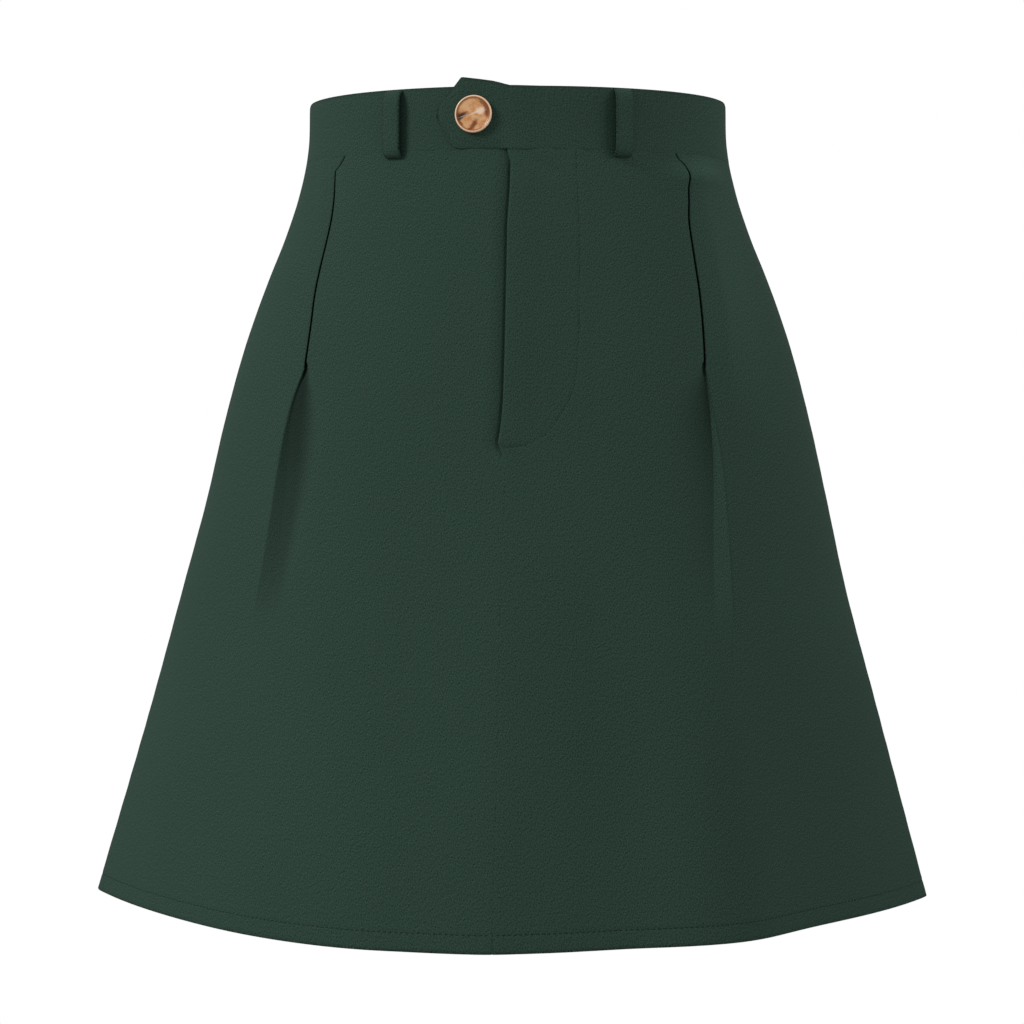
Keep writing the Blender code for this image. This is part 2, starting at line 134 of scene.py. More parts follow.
def interp_rows(at: Array, known: Array, values: Array) -> Array:
    """Straight-line lookup in every row at once: each row is shifted clear of the others.

    Args:
        at: where to look, (rows, places).
        known: rising places, (rows, points).
        values: the values there, (rows, points).

    Returns:
        The value at each place.
    """
    at = np.clip(at, known[:, :1], known[:, -1:])
    span = 2.0 * float(np.ptp(known)) + 1.0
    shift = np.arange(len(known))[:, None] * span
    found = np.interp((at + shift).ravel(), (known + shift).ravel(), values.ravel())
    return found.reshape(at.shape)


def bend(start: Any, corner: Any, end: Any, share: Array) -> Array:
    """A rounded corner: a quadratic curve from start to end, with its ends aimed at corner."""
    return (1 - share) ** 2 * start + 2 * share * (1 - share) * corner + share**2 * end


def unit(vectors: Array) -> Array:
    """Vectors divided by their own length."""
    return vectors / np.maximum(np.linalg.norm(vectors, axis=-1, keepdims=True), 1e-12)


def quarter_round(share: Array, part: float = 1.0) -> Array:
    """How far a quarter circle falls away: 1 - sqrt(1 - part * share^2)."""
    return 1 - np.sqrt(1 - part * np.clip(share, 0, 1) ** 2)


def running(points: Array) -> Array:
    """Length along a line of points, (points, columns), from 0 at the first one."""
    return np.append(0, np.cumsum(np.linalg.norm(np.diff(points, axis=0), axis=1)))


def spacing(grid: Array, axis: int) -> Array:
    """Distances between neighbours in a grid of points, down it (0) or across it (1)."""
    return np.linalg.norm(np.diff(grid, axis=axis), axis=2)


def read_along(at: Array, run: Array, values: Array) -> Array:
    """Columns of values, known at the rising lengths in run, read at other lengths."""
    return np.stack([np.interp(at, run, column) for column in values.T], axis=-1)


def rounded_line(points: Array, count: int) -> Array:
    """A smooth line through points: Catmull-Rom pieces, then resampled at even steps.

    Args:
        points: the points it passes through, (points, any number of columns).
        count: how many points to return.

    Returns:
        Points evenly far apart along the line.
    """
    padded = np.vstack([2 * points[0] - points[1], points, 2 * points[-1] - points[-2]])
    t = np.linspace(0, 1, CURVE_STEPS, endpoint=False)[None, :, None]
    a, b, c, d = (padded[i : len(padded) - 3 + i, None] for i in range(4))
    piece = (
        2 * b + (c - a) * t + (2 * a - 5 * b + 4 * c - d) * t**2 + (3 * b - a - 3 * c + d) * t**3
    ) / 2
    line = np.vstack([piece.reshape(-1, points.shape[1]), points[-1:]])
    run = running(line)
    return read_along(np.linspace(0, run[-1], count), run, line)


class Table:
    """Named columns of values by height, or by another measure that falls row by row."""

    def __init__(self, text: str) -> None:
        """Keeps the rows with the lowest first.

        Args:
            text: the columns' names on the first line, then a row a line, height first.
        """
        names, *rows = (line.split() for line in text.splitlines())
        grid = np.array(rows, dtype=float)[::-1]
        self.heights = grid[:, 0]
        self.columns = dict(zip(names[1:], grid.T[1:]))

    def straight(self, name: str, height: Array | float) -> Array:
        """A column's value on straight lines between the rows."""
        return np.interp(height, self.heights, self.columns[name])

    def smooth(self, name: str, height: Array | float) -> Array:
        """A column's value on a cubic curve whose slopes are those of its neighbours.

        Args:
            name: the column.
            height: where to read it.

        Returns:
            The Hermite cubic through the rows.
        """
        heights, values = self.heights, self.columns[name]
        slopes = np.gradient(values, heights)
        at = np.clip(np.asarray(height, dtype=float), heights[0], heights[-1])
        row = np.clip(np.searchsorted(heights, at) - 1, 0, len(heights) - 2)
        step = heights[row + 1] - heights[row]
        t = (at - heights[row]) / step
        return (
            (1 + 2 * t) * (1 - t) ** 2 * values[row]
            + t * (1 - t) ** 2 * step * slopes[row]
            + t**2 * (3 - 2 * t) * values[row + 1]
            + t**2 * (t - 1) * step * slopes[row + 1]
        )


# ---------------------------------------------------------------- the skirt's form


@dataclass(frozen=True)
class Fold:
    """A soft upright fold of the lower skirt.

    Its place across is x over the half width, and size is how far it stands out at the hem.
    """

    face: Face
    across: float
    width: float
    size: float
    start: float


@dataclass(frozen=True)
class Crease:
    """A ridge or hollow of the cloth: a bell along and across a line that may tilt.

    distance is from the centre front or back, tilt in degrees from upright.
    """

    distance: float
    level: float
    reach: float
    spread: float
    tilt: float
    size: float

    def out(self, distance: Array, level: Array) -> Array:
        """How far it moves the cloth out at each place."""
        turn = math.radians(self.tilt)
        dx, dz = distance - self.distance, level - self.level
        along = dz * math.cos(turn) + dx * math.sin(turn)
        across = dx * math.cos(turn) - dz * math.sin(turn)
        return self.size * hump(along, self.reach) * hump(across, self.spread)


@dataclass
class Lines:
    """Courses of the skirt, one a row, in columns: x, y, z, out_x, out_y and length."""

    x: Array
    y: Array
    z: Array
    out_x: Array
    out_y: Array
    length: Array

    def place(self, lengths: Array, out: Array | float = 0.0) -> Array:
        """Points at signed lengths, moved out from the surface along its level normal.

        Args:
            lengths: (rows, places).
            out: distance out, of the same shape or one number.

        Returns:
            Points, (rows, places, 3).
        """
        x, y, z, out_x, out_y = (
            interp_rows(lengths, self.length, column)
            for column in (self.x, self.y, self.z, self.out_x, self.out_y)
        )
        size = np.hypot(out_x, out_y)
        return np.stack([x + out * out_x / size, y + out * out_y / size, z], axis=2)

    def side_seam(self, side: Side) -> Array:
        """Length from the centre front to the side seam, row by row."""
        return np.abs(self.length[:, MIDDLE + side.value * MIDDLE // 2])

    def centre_back(self, side: Side) -> Array:
        """Length from the centre front to the centre back, row by row."""
        return np.abs(self.length[:, -1 if side is Side.RIGHT else 0])

    def at_distance(self, side: Side, distance: Array) -> Array:
        """Length from the centre front to where the front is this far from it, seen square."""
        centre = interp_rows(np.zeros((len(self.x), 1)), self.length, self.x)
        way = side.value
        front = slice(MIDDLE, MIDDLE + way * (MIDDLE // 2 + 1), way)
        known, values = way * (self.x[:, front] - centre), way * self.length[:, front]
        return interp_rows(distance[:, None], known, values)[:, 0]


class SkirtForm:
    """The skirt's whole surface, course by course.

    A section is |x/half_width|^power + (y/depth)^(1/corner) = 1: an ellipse at the waist,
    pointed at the side seams by the hem. sway moves it sideways.
    """

    SECTIONS = Table(
        """height half_width front back power corner sway
        19.5 128.4 97.0 97.0 2.00 0.50 0.0
        -9.0 129.1 97.0 97.3 2.00 0.50 0.0
        -18.0 130.5 97.6 98.4 2.00 0.50 0.0
        -40.0 135.6 101.0 103.5 2.00 0.50 0.0
        -65.0 143.9 104.5 110.0 2.00 0.50 0.0
        -90.0 154.0 108.0 118.0 2.00 0.51 0.0
        -127.0 167.2 114.0 127.0 2.05 0.53 -0.2
        -176.5 180.9 122.0 137.0 2.15 0.58 -0.6
        -226.0 192.3 131.0 144.0 2.25 0.66 -1.0
        -276.0 204.6 141.0 150.0 2.32 0.74 -2.5
        -345.0 223.2 155.5 161.5 2.37 0.83 -2.9
        -469.0 257.7 182.0 184.0 2.45 1.00 -4.6"""
    )
    FOLDS = (
        Fold(Face.FRONT, -0.76, 0.17, -1.8, -190.0),
        Fold(Face.FRONT, -0.27, 0.20, 3.6, -220.0),
        Fold(Face.FRONT, -0.05, 0.10, 1.2, -250.0),
        Fold(Face.FRONT, 0.28, 0.11, -4.2, -230.0),
        Fold(Face.FRONT, 0.54, 0.11, 4.4, -220.0),
        Fold(Face.FRONT, 0.72, 0.20, -6.0, -200.0),
        Fold(Face.BACK, -0.62, 0.15, 3.2, -190.0),
        Fold(Face.BACK, -0.33, 0.12, -2.8, -230.0),
        Fold(Face.BACK, 0.02, 0.12, 3.0, -210.0),
        Fold(Face.BACK, 0.33, 0.13, -3.0, -240.0),
        Fold(Face.BACK, 0.64, 0.15, 3.2, -200.0),
    )

    def relief(self, across: Array, facing: Array, height: Array) -> Array:
        """How far the soft folds move the cloth out: bells that grow towards the hem.

        Args:
            across: x over the half width.
            facing: 1 at the centre front, -1 at the centre back.
            height: of each point.

        Returns:
            The distance out, which fades to nothing at the side seams.
        """
        out = np.zeros_like(height)
        for fold in self.FOLDS:
            grown = smooth((fold.start - height) / (fold.start - HEM_SIDE))
            shape = fold.size * grown * hump(across - fold.across, fold.width)
            out += np.where(facing * fold.face.value > 0, shape, 0.0)
        return out * (1 - across**8)

    def lines(self, levels: Array) -> Lines:
        """The courses of these heights.

        Args:
            levels: heights at the side seams, (rows,).

        Returns:
            The lines. Each section's points come from its superellipse, and their normals
            from the steps between neighbours.
        """
        level = np.atleast_1d(levels)[:, None]
        angle = np.linspace(-math.pi, math.pi, COURSE_POINTS)[None]
        across, facing = np.sin(angle), np.cos(angle)
        seam = SEAM_SIDE - FRONT_DIP * np.maximum(facing, 0) + BACK_RISE * np.maximum(-facing, 0)
        hem = HEM_SIDE - HEM_DIP * np.maximum(facing, 0) - HEM_TILT * np.maximum(across, 0) ** 2
        fall = np.maximum(0.0, (level - SEAM_SIDE) / (HEM_SIDE - SEAM_SIDE))
        z = seam + np.maximum(0.0, level - SEAM_SIDE) + fall * (hem - seam)
        read = self.SECTIONS.smooth
        depth = np.where(facing > 0, read("front", level), read("back", level))
        inside = np.clip(1 - np.abs(across) ** read("power", level), 0, 1)
        x = read("half_width", level) * across + read("sway", level)
        y = -np.sign(facing) * depth * inside ** read("corner", level)
        step_x, step_y = (
            np.hstack([part[:, 1:], part[:, 1:2]]) - np.hstack([part[:, -2:-1], part[:, :-1]])
            for part in (x, y)
        )
        size = np.hypot(step_x, step_y)
        out_x, out_y = step_y / size, -step_x / size
        out = self.relief(across, facing, z)
        x, y = x + out_x * out, y + out_y * out
        steps = np.hypot(np.diff(x, axis=1), np.diff(y, axis=1))
        length = np.hstack([np.zeros_like(level), np.cumsum(steps, axis=1)])
        centre = length[:, MIDDLE : MIDDLE + 1] - CENTRE_TURN * read("front", level)
        return Lines(x, y, z, out_x, out_y, length - centre)


FORM = SkirtForm()


# ---------------------------------------------------------------- meshes


def make_mesh(
    name: str, points: Array, faces: list[Array], uv: Array, shade: Array | float = 0.0
) -> Object:
    """Puts arrays of points and faces into a smooth-shaded object at the origin.

    Args:
        name: the piece's name.
        points: (points, 3) in millimetres.
        faces: arrays of faces, each with its own number of corners.
        uv: (points, 2), in millimetres along and up the cloth.
        shade: painted shade, how much darker each point is, 0 to 1; below 0, a painted highlight.

    Returns:
        The object.
    """
    mesh = bpy.data.meshes.new(name)
    lists = [row for block in faces for row in block.tolist()]
    mesh.from_pydata((points * MM).tolist(), [], lists)
    corner = np.empty(len(mesh.loops), dtype=np.int32)
    mesh.loops.foreach_get("vertex_index", corner)
    layer = mesh.uv_layers.new(name=CLOTH_MAP)
    layer.data.foreach_set("uv", (uv[corner] * MM).astype(np.float32).ravel())
    darker = mesh.attributes.new(PAINTED_SHADE, "FLOAT", "POINT")
    darker.data.foreach_set("value", np.broadcast_to(shade, len(points)).astype(np.float32))
    mesh.shade_smooth()
    mesh.update()
    made = bpy.data.objects.new(name, mesh)
    bpy.context.scene.collection.objects.link(made)
    return made


@dataclass(frozen=True)
class Rims:
    """How far the rounded rim of a cloth wall stands past each edge of its grid."""

    top: float
    far: float
    bottom: float
    near: float

    def round_grid(self, rows: int, columns: int) -> Array:
        """One number for each point round the grid, in the order of its outline."""
        counts = (columns, rows - 1, columns - 1, rows - 2)
        return np.repeat((self.top, self.far, self.bottom, self.near), counts)


def outline(grid: Array) -> Array:
    """The values round a grid's outline: top row, last column, bottom row, first column."""
    return np.concatenate([grid[0], grid[1:, -1], grid[-1, -2::-1], grid[-2:0:-1, 0]])


def joined(*corners: Array) -> Array:
    """Faces, one a row, from an array of point numbers for each corner."""
    return np.stack(corners, axis=-1).reshape(-1, len(corners))


def ring_quads(index: Array) -> Array:
    """Faces between closed rings of points, numbered (rings, points), four corners each."""
    after = np.roll(index, -1, axis=1)
    return joined(index[:-1], index[1:], after[1:], after[:-1])


def surface_normals(grid: Array) -> Array:
    """Unit normals of a grid of points, pointing away from the garment's axis.

    Args:
        grid: (rows, columns, 3).

    Returns:
        The cross product of the steps along and down, turned outwards as a whole.
    """
    normal = unit(np.cross(np.gradient(grid, axis=1), np.gradient(grid, axis=0)))
    away = (normal[..., :2] * grid[..., :2]).sum()
    return normal if away > 0 else -normal


def cloth_wall(
    name: str,
    outer: Array,
    thickness: Array | float,
    rims: Rims,
    uv: Array,
    shade: Array | float = 0.0,
    steps: int = 3,
) -> Object:
    """A closed wall of cloth with rounded rims, from the grid of its outer side.

    The inner side is the outer one moved in along its normals. A rim is half an ellipse
    about the middle of the edge: middle + half thickness * cos(a) + reach * sin(a).

    Args:
        name: the piece's name.
        outer: (rows, columns, 3), rows from the top down.
        thickness: one number, or an array that fits the grid.
        rims: how far each edge's rim reaches.
        uv: (rows, columns, 2), in millimetres.
        shade: the same; painted shade, how much darker the outer side is, 0 to 1; below 0, a
            painted highlight.
        steps: rows of points in a rim.

    Returns:
        The object.
    """
    rows, columns = outer.shape[:2]
    normal = surface_normals(outer)
    inner = outer - normal * np.broadcast_to(thickness, (rows, columns))[..., None]
    index = np.arange(rows * columns).reshape(rows, columns)
    edge = outline(index)
    inside = np.clip(edge // columns, 1, rows - 2) * columns
    inside += np.clip(edge % columns, 1, columns - 2)
    flat_outer, flat_inner = outer.reshape(-1, 3), inner.reshape(-1, 3)
    rim_out, rim_in = flat_outer[edge], flat_inner[edge]
    along = np.roll(rim_out, -1, axis=0) - np.roll(rim_out, 1, axis=0)
    beyond = unit(np.cross(along, normal.reshape(-1, 3)[edge]))
    beyond *= np.sign(((rim_out - flat_outer[inside]) * beyond).sum(axis=1))[:, None]
    reach = rims.round_grid(rows, columns)[:, None]
    middle, half = (rim_out + rim_in) / 2, (rim_out - rim_in) / 2
    turns = np.pi * (np.arange(steps) + 1) / (steps + 1)
    rim = [middle + half * math.cos(a) + beyond * reach * math.sin(a) for a in turns]
    points = np.concatenate([flat_outer, flat_inner, *rim])

    quads = joined(index[:-1, :-1], index[:-1, 1:], index[1:, 1:], index[1:, :-1])
    first = np.arange(len(edge)) + 2 * index.size
    loops = [edge, *(first + step * len(edge) for step in range(steps)), edge + index.size]
    strips = ring_quads(np.stack(loops))[:, [3, 0, 1, 2]]
    faces = np.concatenate([quads, quads[:, ::-1] + index.size, strips])
    a, b, d = (flat_outer[quads[:, k]] for k in (0, 1, 3))
    if (np.cross(b - a, d - a) * normal.reshape(-1, 3)[quads[:, 0]]).sum() < 0:
        faces = faces[:, ::-1]
    flat_uv = uv.reshape(-1, 2)
    darker = np.broadcast_to(shade, (rows, columns)).reshape(-1)
    return make_mesh(
        name,
        points,
        [faces],
        np.concatenate([flat_uv, flat_uv, *[flat_uv[edge]] * steps]),
        np.concatenate([darker, 0 * darker, *[darker[edge]] * steps]),
    )


def grid_area(grid: Array) -> float:
    """A grid's area in square metres, from its cells' crossed diagonals."""
    one, two = grid[1:, 1:] - grid[:-1, :-1], grid[1:, :-1] - grid[:-1, 1:]
    return float(np.linalg.norm(np.cross(one, two), axis=2).sum() / 2) * MM * MM


def cloth_uv(grid: Array, start: Array, levels: Array) -> Array:
    """Lengths along and up the cloth, as the weave runs.

    Args:
        grid: (rows, columns, 3).
        start: (rows,) the first column's length from the centre.
        levels: (rows,) each row's height.

    Returns:
        (rows, columns, 2): the running length along each row, and the height.
    """
    along = np.cumsum(spacing(grid, 1), axis=1)
    along = np.hstack([np.zeros((len(grid), 1)), along]) + start[:, None]
    return np.stack([along, np.broadcast_to(levels[:, None], along.shape)], axis=2)


def dress(piece: Object, finish: Material, slot: str) -> None:
    """Gives a piece its finish and body."""
    piece.data.materials.append(finish)
    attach(piece, BODY)
    LOG.info("%s: %d faces", piece.name, len(piece.data.polygons))


def declare(
    piece: Object,
    finish: Material,
    outer: Array,
    nodes: list[str],
    slot: str = "skirt_cloth",
) -> None:
    """Fits a cloth piece to the frame: its finish, body, replaced nodes and flat cut.

    Args:
        piece: the piece.
        finish: its material.
        outer: the grid of its outer side, in millimetres.
        nodes: the CAD nodes that it stands for.
        slot: the record's material slot; not used.
    """
    dress(piece, finish, slot)
    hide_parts(*nodes)
    width = float(spacing(outer, 1).sum(axis=1).max()) * MM
    height = float(spacing(outer, 0).sum(axis=0).max()) * MM
    area = min(grid_area(outer), width * height)
    LOG.info("%s: flat %.3f x %.3f m, %.4f m2", piece.name, width, height, area)


# ---------------------------------------------------------------- stitches


@dataclass(frozen=True)
class Thread:
    """A row of stitches, each a short bowed length of thread that dives in at its ends."""

    BOW, DIVE, THIN = 0.25, 1.3, 0.4

    pitch: float = 3.1
    stitch: float = 2.5
    radius: float = 0.24
    rings: int = 5
    sides: int = 6

    def build(self, name: str, paths: list[tuple[Array, Array]]) -> Object:
        """Lays stitches along paths.

        Each ring of a stitch is centred on the path and lifted by a bow,
        r (BOW - DIVE |2t - 1|^3), and its radius is r (1 - THIN (2t - 1)^2).

        Args:
            name: the piece's name.
            paths: pairs of points and outward normals, (points, 3) each.

        Returns:
            The object.
        """
        centres, normals, tangents = [], [], []
        t = np.linspace(0, 1, self.rings)
        for points, normal in paths:
            run = running(points)
            count = max(1, int(run[-1] / self.pitch))
            start = (np.arange(count) + 0.5) * run[-1] / count
            at = start[:, None] + (t[None] - 0.5) * self.stitch
            place = read_along(at, run, points)
            centres.append(place)
            normals.append(unit(read_along(at, run, normal)))
            tangents.append(unit(np.gradient(place, axis=1)))
        centre, up = np.concatenate(centres), np.concatenate(normals)
        side = unit(np.cross(np.concatenate(tangents), up))
        bow = self.radius * (self.BOW - self.DIVE * np.abs(2 * t - 1) ** 3)
        size = self.radius * (1 - self.THIN * np.abs(2 * t - 1) ** 2)
        turn = 2 * math.pi * np.arange(self.sides) / self.sides
        ring = (
            (centre + up * bow[None, :, None])[:, :, None]
            + up[:, :, None] * (size[:, None] * np.cos(turn))[None, ..., None]
            + side[:, :, None] * (size[:, None] * np.sin(turn))[None, ..., None]
        )
        count = len(ring)
        index = np.arange(count * self.rings * self.sides).reshape(count, self.rings, self.sides)
        after = np.roll(index, -1, axis=2)
        body = joined(index[:, :-1], after[:, :-1], after[:, 1:], index[:, 1:])
        caps = np.concatenate([index[:, 0, ::-1], index[:, -1]])
        uv = np.zeros((index.size, 2))
        uv[:, 0] = np.tile(np.repeat(t * self.stitch, self.sides), count)
        uv[:, 1] = np.tile(turn * self.radius, count * self.rings)
        uv[:, 0] += np.repeat(np.arange(count) * self.pitch, self.rings * self.sides)
        return make_mesh(name, ring.reshape(-1, 3), [body, caps], uv)


def path_on(points: Array, count: int, place: Any) -> tuple[Array, Array]:
    """A line of points and normals on a surface.

    Args:
        points: (points, 2) distances from the centre and levels that it passes through.
        count: how finely it is cut.
        place: takes distances and levels, (rows, 1) and (rows,), and gives points.

    Returns:
        Points and outward normals, from small steps along and down the surface.
    """
    line = rounded_line(points, count)
    distance, level = line[:, :1], line[:, 1]
    centre = place(distance, level)[:, 0]
    along = place(distance + 0.5, level)[:, 0] - centre
    down = place(distance, level - 0.5)[:, 0] - centre
    normal = unit(np.cross(along, down))
    if (normal[:, :2] * centre[:, :2]).sum() < 0:
        normal = -normal
    return centre, normal


# ---------------------------------------------------------------- panels


def skirt_levels(extra: tuple[float, ...] = ()) -> Array:
    """The heights of a skirt panel's rows: close together at the seam and the hem."""
    last = HEM_SIDE + HEM_ROWS[0] + 1.0
    body = SEAM_SIDE + (last - SEAM_SIDE) * graded(PANEL_ROWS, 4.0, 2.5)
    return np.unique(np.concatenate([body, HEM_SIDE + np.array(HEM_ROWS), extra]))[::-1]


@dataclass
class SkirtPanel:
    """What the fronts and the back share: cloth sizes, seams and the turned-up hem."""

    cloth: float = 0.8
    hem_cloth: float = 2.0
    GROOVE, GROOVE_WIDTH = 0.14, 0.8  # along the hem's stitches
    HEM_WAVE, HEM_PITCH, HEM_DRIFT, HEM_MIDDLE = 0.09, 1.9, 23.0, 5.0
    HEM_RIDGE, RIDGE_RISE, RIDGE_SPREAD = 0.04, 12.2, 1.4  # the raw edge inside
    WAIST_DIP, WAIST_WIDTH = 0.04, 1.4
    SEAM_DIP, SEAM_WIDTH = 0.35, 1.8
    PUCKER, PUCKER_REACH = 0.10, 7.0
    WAIST_WAVES, SIDE_WAVES = (3.1, 2.0, 31.0), (3.4, 1.5, 29.0)  # pitch, sway, drift
    SIDE_SHARE = 0.7  # of the waist's puckers
    PRESSED, PRESSED_WIDTH = 0.3, 1.6  # painted shade along the hem's folded edge

    def thickness(self, levels: Array) -> Array:
        """The cloth is thicker where the hem is turned up, (rows, 1)."""
        turned = smooth(HEM_SIDE + HEM_FOLD + 0.5 - levels)
        return (self.cloth + (self.hem_cloth - self.cloth) * turned)[:, None]

    def hem_relief(self, along: Array, level: Array) -> Array:
        """The topstitched hem: a groove along the stitches and faint waves below them."""
        rise = level - HEM_SIDE
        groove = -self.GROOVE * hump(rise - STITCH_RISE, self.GROOVE_WIDTH)
        wave = np.sin(along / self.HEM_PITCH + 1.7 * np.sin(along / self.HEM_DRIFT))
        wave *= self.HEM_WAVE * hump(rise - self.HEM_MIDDLE, self.HEM_MIDDLE)
        return groove + wave + self.HEM_RIDGE * hump(rise - self.RIDGE_RISE, self.RIDGE_SPREAD)

    def puckers(self, along: Array, away: Array, waves: tuple[float, float, float]) -> Array:
        """The small waves that sewing leaves: uneven sines that fade away from the seam."""
        pitch, sway, drift = waves
        wave = np.sin(along / pitch + sway * np.sin(along / drift))
        return self.PUCKER * wave * np.exp(-away / self.PUCKER_REACH)

    def seam_relief(self, along: Array, level: Array, to_side: Array) -> Array:
        """Dips towards the waist and side seams, with puckers along both."""
        drop = SEAM_SIDE - level
        waist = self.puckers(along, drop, self.WAIST_WAVES)
        waist -= self.WAIST_DIP * hump(drop, self.WAIST_WIDTH)
        side = self.SIDE_SHARE * self.puckers(level, to_side, self.SIDE_WAVES)
        side -= self.SEAM_DIP * hump(to_side, self.SEAM_WIDTH)
        return waist + side

    def shade(self, levels: Array) -> Array:
        """Painted shade: a little darker along the hem's folded edge, (rows, 1)."""
        return self.PRESSED * hump(levels - HEM_SIDE, self.PRESSED_WIDTH)[:, None]


@dataclass
class FrontPanel(SkirtPanel):
    """A front, from the centre front to its side seam, with its pleat.

    Above the release the pleat is a slot whose side part rounds in under the crisp edge of
    the centre part. Below it the side part's fold stands proud of a sunk underlay.
    """

    side: Side = Side.LEFT
    creases: tuple[Crease, ...] = ()
    painted_light_and_shade: tuple[Crease, ...] = ()
    ridge: float = 4.6

    # dark_left and dark_right: painted shade in the open pleat, where little light reaches it
    PLEATS = Table(
        """height left right deep_left deep_right dark_left dark_right
        -18.0 97.6 96.4 1.0 1.0 0.0 0.0
        -22.0 99.9 99.0 1.8 1.8 0.0 0.0
        -24.3 101.6 101.4 2.6 2.4 0.0 0.0
        -27.0 104.2 102.8 3.6 3.2 0.0 0.0
        -30.0 104.6 103.8 4.6 4.2 0.0 0.0
        -38.0 104.7 104.7 5.9 5.7 0.0 0.0
        -45.0 104.9 105.3 6.2 6.2 0.0 0.0
        -58.0 106.2 105.2 6.6 6.6 0.0 0.0
        -72.0 109.0 106.9 7.0 7.0 0.0 0.0
        -86.0 112.1 108.9 7.1 7.1 0.0 0.0
        -100.0 114.6 110.9 7.2 7.2 0.0 0.0
        -121.0 116.6 113.0 7.3 7.3 0.0 0.0
        -140.0 118.7 114.1 7.0 6.8 0.0 0.0
        -146.8 119.4 114.3 3.6 3.4 0.40 0.34
        -155.0 122.8 116.2 1.8 1.8 0.62 0.66
        -164.0 126.2 118.0 1.7 1.7 0.64 0.68
        -180.0 130.5 120.9 2.0 2.0 0.59 0.58
        -195.0 133.3 123.7 2.4 2.2 0.54 0.44
        -210.0 135.5 125.6 2.8 2.3 0.44 0.32
        -229.0 137.8 127.6 2.5 2.1 0.38 0.24
        -257.0 140.8 130.2 1.9 1.6 0.28 0.13
        -278.0 143.4 131.7 1.2 1.0 0.17 0.05
        -290.0 145.0 132.7 0.5 0.4 0.05 0.0
        -300.0 146.0 133.4 0.0 0.0 0.0 0.0
        -470.0 178.0 163.0 0.0 0.0 0.0 0.0"""
    )
    TUCK = Table(
        """height mouth left right sharp round
        -18.0 0.4 1.6 1.4 0.5 3.0
        -24.0 0.5 2.6 2.2 0.5 3.6
        -30.0 0.75 4.0 3.0 0.5 4.2
        -45.0 0.95 5.4 4.2 0.5 4.6
        -100.0 0.95 6.2 4.8 0.5 4.6
        -143.0 1.0 6.0 4.2 0.5 4.2
        -147.5 4.5 0.5 0.5 0.8 1.8
        -152.5 11.0 -0.8 -0.7 1.2 0.9
        -160.0 21.0 -1.4 -1.2 1.4 0.7
        -172.0 32.0 -2.0 -1.8 1.5 0.6
        -183.0 37.0 -3.2 -3.0 1.7 0.6
        -197.0 39.0 -5.8 -5.0 1.8 0.6
        -219.0 38.0 -8.2 -7.6 1.9 0.6
        -240.0 34.0 -10.0 -10.2 2.0 0.7
        -257.0 31.0 -11.5 -11.8 2.0 0.9
        -285.0 29.0 -13.0 -13.0 2.0 1.6
        -470.0 27.0 -13.0 -12.5 2.0 3.0"""
    )
    FLY = Table(
        """height edge lift
        -18.0 -1.8 1.2
        -26.0 0.6 1.3
        -40.0 0.4 1.35
        -63.0 -1.0 1.35
        -136.0 -1.5 1.35
        -166.0 -1.9 1.35
        -181.0 -3.0 1.4
        -189.5 -4.3 1.2
        -193.0 -3.6 0.5
        -197.0 -2.0 0.1
        -206.0 0.0 0.0
        -470.0 0.0 0.0"""
    )
    LIFT_RUN = 22.0
    LAP_END, FLY_END, FLY_FADE = -190.0, -210.0, 14.0
    UNDERLAP, UNDERLAP_END, UNDERLAP_FADE = 5.1, -208.0, 16.0
    UNDER_DIP, EDGE_DIP = (1.2, 10.0), (0.8, 1.3)  # the left front under the lap: depth, run
    FACING, FACING_EDGE, FACING_FADE = 0.5, 30.0, 4.0
    FLY_ROUND, ROUND_DROP = 1.6, 0.9
    STITCH_DIP, STITCH_WIDTH = 0.42, 0.7
    TUCK_THINNER = 0.25
    CREASE_RADIUS, MOUTH_ROUND, FOLD_START = 0.8, 0.9, 1.3
    RIDGE_WIDTH, RIDGE_ROUND = 44.0, 10.0
    RELEASE_ROWS = (-198.0, -150.0, 1.3)
    PALE_TOP, PALE_END = (-162.0, 20.0), (-308.0, 46.0)  # a height and a fade each, for where the right pleat's painted highlight and fold shade show
    PALE, FOLD_LINE = 0.14, 0.2  # painted highlight of the right pleat's wall, painted shade line along its fold
    FLY_STITCH = (
        (38.6, -20.0), (39.0, -27.0), (40.5, -60.0), (41.0, -108.0), (40.3, -136.0),
        (38.5, -157.0), (32.5, -171.4), (23.7, -184.0), (13.8, -190.8), (3.5, -192.8),
        (-2.4, -193.2),
    )
    SEGMENTS = (6, 18, 8, 8, 10)
    FLY_COLUMNS, CENTRE_COLUMNS, SIDE_COLUMNS = 54, 46, 50
    FLY_REACH = 46.0

    def shares(self) -> list[Array]:
        """Shares along the tuck's five segments; no point is in two of them."""
        first, *others = self.SEGMENTS
        return [np.linspace(0, 1, first)] + [np.linspace(0, 1, n)[1:] for n in others]

